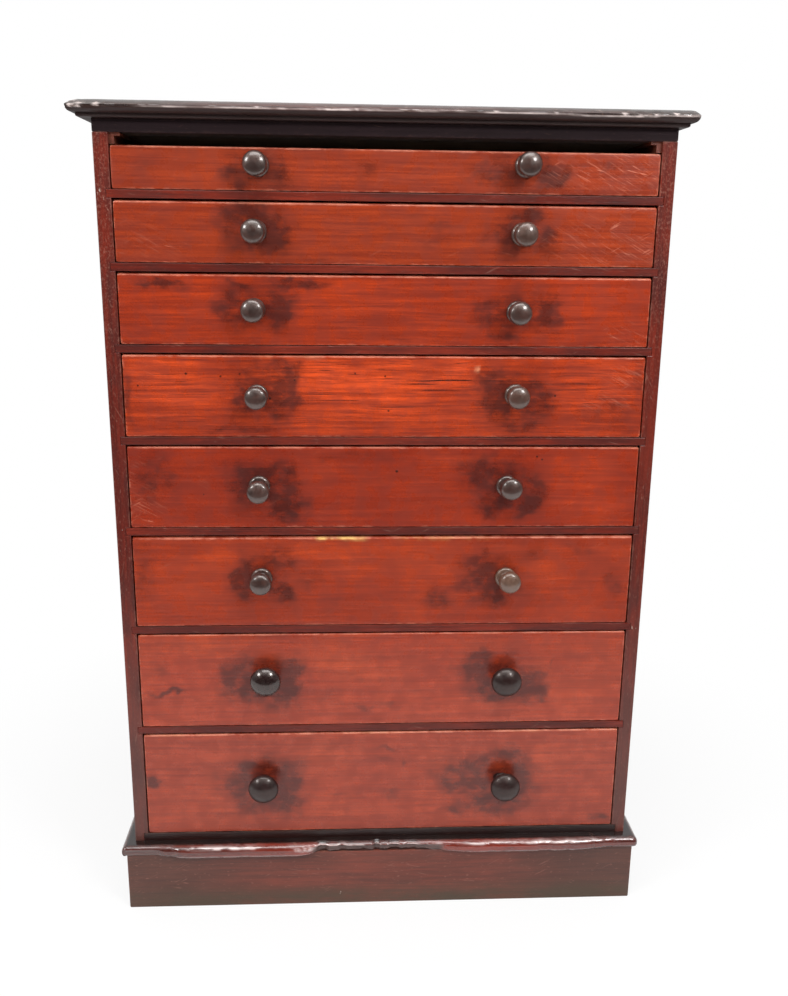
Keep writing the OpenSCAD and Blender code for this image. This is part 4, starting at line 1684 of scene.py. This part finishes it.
@dataclass
class PlinthCap:
    """The moulding on the plinth. Its front length has lost part of its nose.

    Sizes are in millimetres. A break has a middle and a half length along the front, and a depth.
    """

    out: float = 13.6
    height: float = 12.3
    rounding: float = 7.0
    drop: float = 5.5
    low: float = 4.2
    step: float = 1.6
    corner: float = 5.0
    breaks: tuple[Break, ...] = (
        (-62, 12, 4.0), (-40, 20, 5.2), (-12, 16, 5.2), (14, 14, 5.0), (36, 14, 4.4), (54, 10, 2.6),
        (-266, 20, 2.0),
    )
    bites: tuple[Break, ...] = (
        (-66, 5, 2.0), (-7, 3, 2.6), (12, 5, 1.6), (30, 6, 1.4), (-44, 4, 1.2), (-150, 5, 0.7), (120, 4, 0.5),
        (176, 4, 1.0), (184, 3, 1.0), (204, 3, 0.8), (-228, 4, 1.0), (250, 5, 0.7),
    )
    swell: float = 3.4
    sag: float = 1.6
    crack: float = 233.0
    crack_half: float = 0.9

    def _section(self) -> np.ndarray:
        """Points round the section from the upper to the lower inner edge.

        Returns:
            A distance outwards and a height for each, shape (n, 2).
        """
        radius, end = crown(self.rounding, self.drop)
        parts = [
            [(0.0, self.height), (3.0, self.height)],
            arc((self.out - self.rounding, self.height - radius), radius, 0.0, end, 14),
            [(self.out, self.low + 1.3)],
            arc((self.out - self.low, self.low), self.low, math.pi / 2, math.pi, 8),
            [(8.4, 0.0), (3.0, 0.0), (0.0, 0.0)],
        ]
        return np.concatenate(parts)

    def build(self, side: CapSide, finish: bpy.types.Material) -> bpy.types.Object:
        """Makes one length, mitred where it meets the next one.

        Each point's distance outwards lengthens its line, which mitres the corners.

        Args:
            side: Which length.
            finish: Its stain.

        Returns:
            The piece.
        """
        low, high = (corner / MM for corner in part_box(side.value))
        case_low, case_high = (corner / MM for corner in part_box("sub_top"))
        out, up = self._section().T
        length = (high.x - low.x) if side is CapSide.FRONT else (high.y - low.y)
        along = np.linspace(0, 1, int(length / self.step))[:, None]
        if side is CapSide.FRONT:
            x = (case_low.x - out) + along * (case_high.x - case_low.x + 2 * out)
            y = case_low.y - out + 0 * along
        else:
            way = -1 if side is CapSide.LEFT else 1
            edge = case_high.x if way > 0 else case_low.x
            x = edge + way * out + 0 * along
            y = (case_low.y - out) + along * (case_high.y - case_low.y + out)
        z = low.z + up + 0 * x
        at = np.stack([x, y, z], -1)
        moved = 0.35 * fractal_noise(at / 6, 51, 3) * smooth((out - 4) / 5)
        if side is CapSide.FRONT:
            split = self._lost(self.breaks, at) * smooth((9.8 - up) / 4) * smooth((out - 8.6) / 3)
            bitten = self._lost(self.bites, at) * smooth((out - 5) / 5)
            swollen = self._swollen(x) * smooth((out - 5) / 6)
            z = z - self.sag * swollen * smooth((9 - up) / 6) * smooth((out - 8.6) / 3)
            y = y + moved + split + bitten - self.swell * swollen
        else:
            x = x - way * moved
        edge_x = case_high.x + self.out - self.corner
        edge_y = case_low.y - self.out + self.corner
        moved_x, moved_y = eased_corner(np.abs(x) - edge_x, edge_y - y)
        grid = np.stack([np.sign(x) * (edge_x + moved_x), edge_y - moved_y, z], -1) * MM
        shell = Shell()
        shell.add_grid(grid, closed=True)
        shell.add_cap(grid[0])
        shell.add_cap(grid[-1])
        mesh = shell.mesh(f"{side.value}_moulding", math.radians(40))
        self._mark(mesh, side, case_low, case_high)
        return place(mesh, "case", "plinth_wood", finish, side.value)

    @staticmethod
    def _lost(places: tuple[Break, ...], at: np.ndarray) -> np.ndarray:
        """How much wood is lost at each point: the deepest of several ragged breaks.

        Args:
            places: The breaks.
            at: Points of shape (..., 3).

        Returns:
            Depths of shape (...).
        """
        lost = np.zeros(at.shape[:-1])
        ragged = 0.6 + 0.8 * fractal_noise(at / 7, 61, 4)
        for middle, half, depth in places:
            lost = np.maximum(lost, depth * smooth(1.6 - np.abs(at[..., 0] - middle) / half) * ragged)
        return lost

    @staticmethod
    def _swollen(x: np.ndarray) -> np.ndarray:
        """Where the sound lengths stand proud of the worn ones: two smooth humps along the front."""
        left = smooth((x + 247) / 36) * smooth((-66 - x) / 30)
        return left + 0.85 * smooth((x - 55) / 50) * smooth((262 - x) / 60)

    def _mark(self, mesh: bpy.types.Mesh, side: CapSide, case_low: Vector, case_high: Vector) -> None:
        """Stores the torn wood of the broken nose, the pale lines along its edge, which are painted highlights, the
        painted floor light under it, and the darker flat next to the case.

        Args:
            mesh: The mesh of one length.
            side: Which length.
            case_low: The case's lowest corner.
            case_high: The case's highest corner.
        """
        points = points_of(mesh) / MM
        across, out, up = points.T
        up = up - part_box(side.value)[0].z / MM
        from_case = np.maximum(case_low.y - out, np.abs(across) - case_high.x)
        ragged = fractal_noise(points / 5, 71, 3)
        torn, bare = 0 * up, 0 * up
        if side is CapSide.FRONT:
            split = smooth(self._lost(self.breaks, points) / 2.4)
            edge = 9.6 - 0.8 * fractal_noise(points / 12, 73, 2)
            torn = split * smooth((edge - up) / 1.2) * (0.35 + 0.65 * (across > -120))
            torn = np.maximum(torn, 0.8 * hump(across, self.crack, self.crack_half) * (from_case > 3))
            # A pale line on the upper edge of each break: a painted highlight.
            arris = hump(up - edge, 0.4, 0.55) * split * (across > -90)
            facet = np.hypot((across + 84) / 13, (up - 7.5) / 2.6)
            # A pale line under the swollen nose: painted light from the floor.
            floor_lit_lip = self._swollen(across) * smooth((2.4 - up) / 1.4) * (from_case > 9)
            streaks = fractal_noise(points / (9, 2.5, 1.6), 77, 3)
            # Painted highlights along the upper round of the sound lengths of the nose.
            polished = (
                smooth((across + 216) / 12) * smooth((-120 - across) / 25)
                + 0.3 * smooth((across + 130) / 20) * smooth((-70 - across) / 12)
                + 0.8 * smooth((across - 84) / 20) * smooth((250 - across) / 20)
            ) * hump(up, 10.2, 1.2) * (from_case > 9.5)
            lines = (
                0.85 * arris * smooth(3.2 * ragged - 0.8),
                0.8 * smooth(1.5 - facet) * smooth(3 * ragged - 0.8),
                0.22 * floor_lit_lip * smooth(3 * ragged - 0.7),
                polished * smooth(3.6 * streaks - 1.1),
            )
            bare = np.max(lines, axis=0)
        # Darker on the flat next to the case.
        soot = smooth((9.5 + 3 * ragged - from_case) / 3.5) * smooth((up - 9) / 2)
        paint(mesh, torn=torn, bare=bare, soot=soot)


@dataclass
class Kickers:
    """The two L-shaped strips above the first drawer, whose ends show beside it.

    They run as the CAD's strips do, and on to the front over the drawer's front board. Sizes are
    in millimetres.
    """

    leg: float = 5.0
    wide: float = 10.4
    flange: float = 3.0
    set_back: float = 3.5
    notch: float = 21.0
    lift: float = 0.8

    def build(self, finish: bpy.types.Material) -> bpy.types.Object:
        """Carries the L section back from the front, shorter in its leg above the drawer's front board.

        Args:
            finish: The strips' stain.

        Returns:
            The piece.
        """
        low, high = (np.array(corner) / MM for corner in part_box("kickers"))
        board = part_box("drawer_1_front")
        front, over = board[0].y / MM - 0.5, board[1].z / MM + self.lift
        shoulder = front + self.notch
        y = np.array([front + self.set_back, shoulder, shoulder, high[1]])[:, None]
        foot = np.array([over, over, low[2], low[2]])
        top, under = high[2] + 0 * foot, high[2] - self.flange + 0 * foot
        inward = np.array([0.0, self.wide, self.wide, self.leg, self.leg, 0.0])
        z = np.stack([top, top, under, under, foot, foot], -1)
        shell = Shell()
        for way in (-1, 1):
            grid = np.stack(np.broadcast_arrays(way * (high[0] - inward), y, z), -1) * MM
            shell.add_grid(grid, closed=True)
            shell.add_cap(grid[0])
            shell.add_cap(grid[-1])
        return place(shell.mesh("kicker_strips"), "case", "inner_wood", finish, "kickers")


@dataclass
class BackNails:
    """Heads of the cut nails that hold the back boards, in millimetres."""

    radius: float = 2.3
    rise: float = 0.2
    sides: int = 8
    from_edge: float = 3.5
    from_end: float = 30.0
    in_column: int = 7
    boards: int = 3

    def build(self, finish: bpy.types.Material) -> bpy.types.Object:
        """Makes all the heads in one mesh: low domes of three rings on each nail's place.

        Args:
            finish: The heads' rust.

        Returns:
            The piece.
        """
        low, high = (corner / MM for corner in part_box("back_boards"))
        ups = np.linspace(low.z + self.from_end, high.z - self.from_end, self.in_column)
        places = [(x, z) for x in (low.x + self.from_edge, high.x - self.from_edge) for z in ups]
        width = (high.x - low.x) / self.boards
        for board in range(self.boards):
            places += [(low.x + width * (board + part), z) for part in (0.25, 0.75) for z in (high.z - 7, low.z + 14)]
        angle = np.linspace(0, 2 * math.pi, self.sides, endpoint=False)
        rings = np.array(((0.0, self.rise), (0.6, self.rise * 0.85), (1.0, 0.1), (1.0, -0.4), (0.0, -0.4)))
        shell = Shell()
        for index, (x, z) in enumerate(places):
            jitter = lattice_values(np.array([[index, k] for k in range(3)]), 5) - 0.5
            radius = rings[:, :1] * self.radius * (1 + 0.3 * jitter[2])
            across = x + 3 * jitter[0] + radius * np.cos(angle)
            up = z + 6 * jitter[1] + radius * np.sin(angle)
            shell.add_grid(np.stack([across, high.y + rings[:, 1:] + 0 * angle, up], -1) * MM, closed=True)
        return place(shell.mesh("back_nails", math.radians(60)), "case", "back_wood", finish)


# The cabinet and the studio

CASE_STAIN = dict(
    deep=srgb(52, 22, 20), body=srgb(108, 34, 23), bright=srgb(130, 43, 27), worn=srgb(146, 104, 90), mottle=0.5,
    sheen=0.3,
)
# Its near-white bare colour paints the highlight along the nose.
TOP_STAIN = StainedWood(
    "walnut stain", deep=srgb(22, 15, 14), body=srgb(48, 33, 29), bright=srgb(70, 50, 44), worn=srgb(150, 122, 104),
    middle=srgb(96, 54, 49), middle_reach=0.22, roughness=0.3, arris=0.0, relief=0.4, dust=0.1,
    fibre=0.6, mottle=0.22, bare=srgb(250, 232, 226), soot=srgb(44, 26, 24), soot_rough=0.2,
    has_marks=True, sheen=0.4, coat=0.95, coat_sooty=0.0,
)
UNDER_TOP_STAIN = StainedWood(
    "black stain", deep=srgb(28, 18, 20), body=srgb(38, 25, 28), bright=srgb(44, 29, 31), worn=srgb(92, 66, 58),
    roughness=0.6, arris=0.25, specks=0.1, sheen=0.12, raw_below=True,
)
RAIL_STAIN = StainedWood(
    "rail stain", middle=srgb(138, 48, 31), middle_reach=0.17, arris=0.0, specks=0.15, **CASE_STAIN
)
# Near-black colour that paints the shade on the bottom board's edge, between the lowest drawer and the cap.
BOTTOM_SHADE_STAIN = StainedWood(
    "painted shade stain", deep=srgb(24, 12, 11), body=srgb(40, 18, 15), bright=srgb(54, 22, 18), worn=srgb(90, 60, 50),
    arris=0.3,
)
KICKER_STAIN = StainedWood(
    "kicker stain", deep=srgb(70, 34, 28), body=srgb(118, 60, 46), bright=srgb(134, 74, 56), worn=srgb(180, 130, 106),
    grain=Grain.DEEP, arris=0.0,
)
PLINTH_STAIN = dict(
    deep=srgb(62, 35, 26), body=srgb(88, 50, 38), bright=srgb(98, 52, 38), worn=srgb(150, 100, 84),
    middle=srgb(132, 54, 36), middle_reach=0.2, middle_clouds=0.75, olive=srgb(72, 54, 38), mottle=0.3, fibre=0.3,
    nicks=((-47.0, -195.4, 12.0, 1.0), (-46.4, -195.4, 14.0, 0.8)),
)
# Its pale bare colour paints the highlights along the cap's nose.
CAP_STAIN = dict(
    deep=srgb(34, 18, 16), body=srgb(84, 34, 26), bright=srgb(110, 40, 30), worn=srgb(150, 108, 92),
    middle=srgb(158, 52, 32), middle_reach=0.2, bare=srgb(226, 208, 204), torn=srgb(74, 42, 35),
    soot=srgb(26, 12, 11), soot_rough=-0.06, coat=0.9, dust=0.02, specks=0.12, roughness=0.24, relief=0.5,
    arris=0.0, has_marks=True,
)
CASE_NICKS = (
    (-266.0, -187.0, 757.0, 1.6), (-268.0, -187.0, 753.0, 1.2), (-263.0, -187.0, 749.0, 0.9),
    (262.0, -187.0, 322.0, 1.2), (266.0, -187.0, 321.5, 1.0), (-259.0, -187.0, 610.0, 0.9),
    (258.5, -187.0, 612.0, 1.3), (259.5, -187.0, 686.0, 0.8), (-264.0, -187.0, 432.0, 0.8),
)
SMALL_POLISH = PolishedTurning(
    "polished small knobs", body=srgb(44, 23, 19), bright=srgb(80, 44, 36), roughness=0.4, coat=0.9, shine=0.9,
    coat_rough=0.14,
)
LARGE_POLISH = PolishedTurning(
    "polished large knobs", body=srgb(32, 19, 19), bright=srgb(46, 27, 26), roughness=0.25, coat=0.7
)
SEATS = (
    (Seat((4.5, 1.2), (-0.06, 0.01)), Seat((2.2, 4.0), (0.02, 0.02))),
    (Seat((1.0, -1.0), (-0.05, 0.0)), Seat((1.3, -0.8), (0.03, 0.0), 0.3, 0.1)),
    (Seat((-2.0, -1.8)), Seat((-0.4, -2.4))),
    (Seat((-0.8, -1.0)), Seat((1.0, 0.4), (0.02, 0.0), 0.1, 0.1)),
    (Seat((-0.8, -0.2), (0.0, -0.11)), Seat((-4.0, -0.8), (0.10, 0.065))),
    (Seat((-0.5, 2.4), (0.0, -0.03)), Seat((-1.4, 1.4), (0.10, 0.03), 0.2, 0.4)),
    (Seat((1.4, 2.2), (0.02, 0.03)), Seat((1.8, -0.4), (0.05, 0.0), 0.85)),
    (Seat((-2.6, -0.6), (-0.02, 0.0), 0.8), Seat((4.4, -2.8), (0.11, -0.06), 1.0)),
)


class Cabinet:
    """All the pieces of the cabinet."""

    def __init__(self) -> None:
        """Builds the shared effects and the finishes that many pieces have."""
        self.effects = Effects()
        pine = {"body": srgb(205, 170, 120), "late": srgb(160, 112, 66)}
        self.pine = {way: BarePine(f"pine {way.name.lower()}", grain=way, **pine).build(self.effects) for way in Grain}
        self.back = BarePine(
            "back pine", body=srgb(150, 112, 74), late=srgb(108, 72, 44), grain=Grain.UPRIGHT, grime=0.5
        ).build(self.effects)
        self.iron = RustedIron().build(self.effects)
        self.small_polish = SMALL_POLISH.build(self.effects)
        self.large_polish = LARGE_POLISH.build(self.effects)

    def case(self) -> None:
        """Dresses the boards of the case and its back."""
        side = StainedWood("case stain", grain=Grain.UPRIGHT, nicks=CASE_NICKS, pitted=0.42, **CASE_STAIN)
        boards = (
            ("side_left", side, 0.9), ("side_right", side, 0.9), ("sub_top", UNDER_TOP_STAIN, 0.8),
            ("drawer_rails", RAIL_STAIN, 0.5), ("bottom_board", BOTTOM_SHADE_STAIN, 0.6),
        )
        for node, stain, bevel in boards:
            dress(node, stain.build(self.effects, node), bevel * MM)
        for node in ("runners_left", "runners_right"):
            dress(node, self.pine[Grain.DEEP], 0.4 * MM)
        Kickers().build(KICKER_STAIN.build(self.effects, "kickers"))
        dress("drawer_stops", self.pine[Grain.ACROSS], 0.3 * MM)
        dress("back_boards", self.back, 0.5 * MM)
        BackNails().build(self.iron)

    def top(self) -> None:
        """Makes the top board."""
        TopBoard().build(TOP_STAIN.build(self.effects, "top_board"))

    def plinth(self) -> None:
        """Makes the cap moulding and dresses the plinth boards."""
        for node, grain in (("plinth_front", Grain.ACROSS), ("plinth_left", Grain.DEEP), ("plinth_right", Grain.DEEP)):
            stain = StainedWood("plinth stain", grain=grain, **PLINTH_STAIN)
            dress(node, stain.build(self.effects, node), 1.0 * MM)
        for node in ("plinth_back", "plinth_blocks"):
            dress(node, self.pine[Grain.ACROSS])
        for side in CapSide:
            grain = Grain.ACROSS if side is CapSide.FRONT else Grain.DEEP
            stain = StainedWood("cap stain", grain=grain, **CAP_STAIN)
            PlinthCap().build(side, stain.build(self.effects, side.value))

    def drawer(self, number: int) -> None:
        """Makes one drawer.

        Args:
            number: The drawer's number, from the top.
        """
        look = LOOKS[number - 1]
        DrawerFront(number, look).build(FrontStain().build(self.effects, number, look))
        polish = self.large_polish if number >= FIRST_LARGE else self.small_polish
        KnobPair(number, *SEATS[number - 1]).build(polish)
        dress(f"drawer_{number}_sides", self.pine[Grain.DEEP], 0.3 * MM)
        dress(f"drawer_{number}_back", self.pine[Grain.ACROSS], 0.3 * MM)
        dress(f"drawer_{number}_bottom", self.pine[Grain.ACROSS], 0.0)

    def build(self) -> None:
        """Builds every sub-assembly in order."""
        self.case()
        self.top()
        self.plinth()
        for number in range(1, DRAWERS + 1):
            self.drawer(number)


@dataclass(frozen=True)
class Lamp:
    """A rectangular soft lamp: its place and its size in metres, and its power in watts."""

    name: str
    place: tuple[float, float, float]
    width: float
    depth: float
    power: float


LAMPS = (
    Lamp("left", (-1.36, -1.26, 1.403), 0.44, 0.44, 13.5),
    Lamp("right", (0.80, -1.26, 1.403), 0.38, 0.38, 11.5),
    Lamp("overhead", (0.0, -1.0, 2.1), 1.6, 0.7, 20.0),
)


@dataclass
class Studio:
    """The studio: white floor, bright ceiling, a dark room behind the camera, lamps and the camera."""

    sides: float = 0.35
    back: float = 0.6
    ceiling: float = 0.9
    room: float = 0.02
    floor_half: float = 9.0
    floor_white: float = 0.86
    floor_dark: float = 0.03
    floor_end: float = -0.87
    floor_blend: float = 0.12
    aim: tuple[float, float, float] = (0.0, -0.18, 0.45)
    eye: tuple[float, float, float] = (-0.0429, -1.1424, 0.7136)
    yaw: float = math.radians(3.06)
    pitch: float = math.radians(14.6)
    roll: float = math.radians(0.68)
    lens: float = 35.46

    def build(self) -> None:
        """Builds the studio."""
        self._floor()
        self._world()
        for lamp in LAMPS:
            self._lamp(lamp)
        self._camera()

    def _floor(self) -> None:
        """A wide plain floor, which the camera sees as almost pure white and whose near part alone shines back."""
        size = self.floor_half
        mesh = bpy.data.meshes.new("studio_floor")
        mesh.from_pydata([(-size, -size, 0), (size, -size, 0), (size, size, 0), (-size, size, 0)], [], [(0, 1, 2, 3)])
        floor = bpy.data.objects.new("studio_floor", mesh)
        bpy.context.scene.collection.objects.link(floor)
        g = Surface("studio floor")
        path = g.add("LightPath").outputs
        end, blend = self.floor_end, self.floor_blend
        beyond = g.span(g.axis(g.at, "Y"), end - blend, end + blend, 1.0, 0.0)
        unlit = g.times(path["Is Glossy Ray"], beyond)
        base = g.mix(unlit, (self.floor_white,) * 3, (self.floor_dark,) * 3)
        g.fill(g.shader.inputs, {"Base Color": base, "Roughness": 0.7})
        glow = g.add("Emission", {"Color": (1, 1, 1), "Strength": 1.0}).outputs[0]
        away = g.span(g.distance(g.at, (0, 0, 0)), 0.35, 0.75, 0.84, 1.0)
        seen = g.times(path["Is Camera Ray"], away)
        mixed = g.add("MixShader", {0: seen, 1: g.shader.outputs[0], 2: glow}).outputs[0]
        g.fill(g.tree.nodes["Material Output"].inputs, {"Surface": mixed})
        mesh.materials.append(g.material)

    def _world(self) -> None:
        """Light from all round by its direction, white where the camera looks past the floor."""
        world = bpy.data.worlds.new("studio")
        bpy.context.scene.world = world
        world.use_nodes = True
        g = Graph(world.node_tree)
        way = g.add("SeparateXYZ", {0: g.add("TexCoord").outputs["Generated"]}).outputs
        level = g.span(way["Y"], -0.8, -0.25, self.room, self.sides)
        level = g.math("ADD", level, g.span(way["Y"], 0.0, 0.5, 0.0, self.back - self.sides))
        seen = g.add("LightPath").outputs["Is Camera Ray"]
        for share, bright in ((g.span(way["Z"], 0.45, 0.85), self.ceiling), (seen, 1.0)):
            level = g.total(level, (share, g.math("SUBTRACT", bright, level)))
        g.fill(world.node_tree.nodes["Background"].inputs, {"Color": (1, 1, 1), "Strength": level})

    def _lamp(self, lamp: Lamp) -> None:
        """Hangs a lamp so that it faces the cabinet.

        Args:
            lamp: The lamp.
        """
        data = bpy.data.lights.new(f"studio_lamp_{lamp.name}", "AREA")
        data.shape = "RECTANGLE"
        data.size = lamp.width
        data.size_y = lamp.depth
        data.energy = lamp.power
        hung = bpy.data.objects.new(data.name, data)
        bpy.context.scene.collection.objects.link(hung)
        back = np.array(lamp.place) - np.array(self.aim)
        back /= np.linalg.norm(back)
        side = np.cross((0, 0, 1), back)
        side /= np.linalg.norm(side)
        hung.matrix_world = self._frame(side, np.cross(back, side), back, lamp.place)

    @staticmethod
    def _frame(*columns: np.ndarray | tuple[float, ...]) -> Matrix:
        """A 4 by 4 matrix from its columns.

        Args:
            columns: The three axes and the origin.

        Returns:
            The matrix.
        """
        matrix = np.eye(4)
        matrix[:3] = np.stack(columns, -1)
        return Matrix(matrix.tolist())

    def _camera(self) -> None:
        """The camera where the photograph was taken from: turned by yaw, then pitch, then roll."""
        data = bpy.data.cameras.new("camera")
        data.lens = self.lens
        camera = bpy.data.objects.new("camera", data)
        bpy.context.scene.collection.objects.link(camera)
        level = math.cos(self.pitch)
        forward = np.array([math.sin(self.yaw) * level, math.cos(self.yaw) * level, -math.sin(self.pitch)])
        right = np.array([math.cos(self.yaw), -math.sin(self.yaw), 0.0])
        up = np.cross(right, forward)
        tilted = math.cos(self.roll) * right + math.sin(self.roll) * up
        upright = -math.sin(self.roll) * right + math.cos(self.roll) * up
        camera.matrix_world = self._frame(tilted, upright, -forward, self.eye)
        bpy.context.scene.camera = camera
        bpy.context.scene.view_settings.view_transform = "Standard"


def main() -> None:
    """Builds the studio and the cabinet."""
    logging.basicConfig(level=logging.INFO, format="%(name)s: %(message)s")
    Studio().build()
    Cabinet().build()


if __name__ == "__main__":
    main()
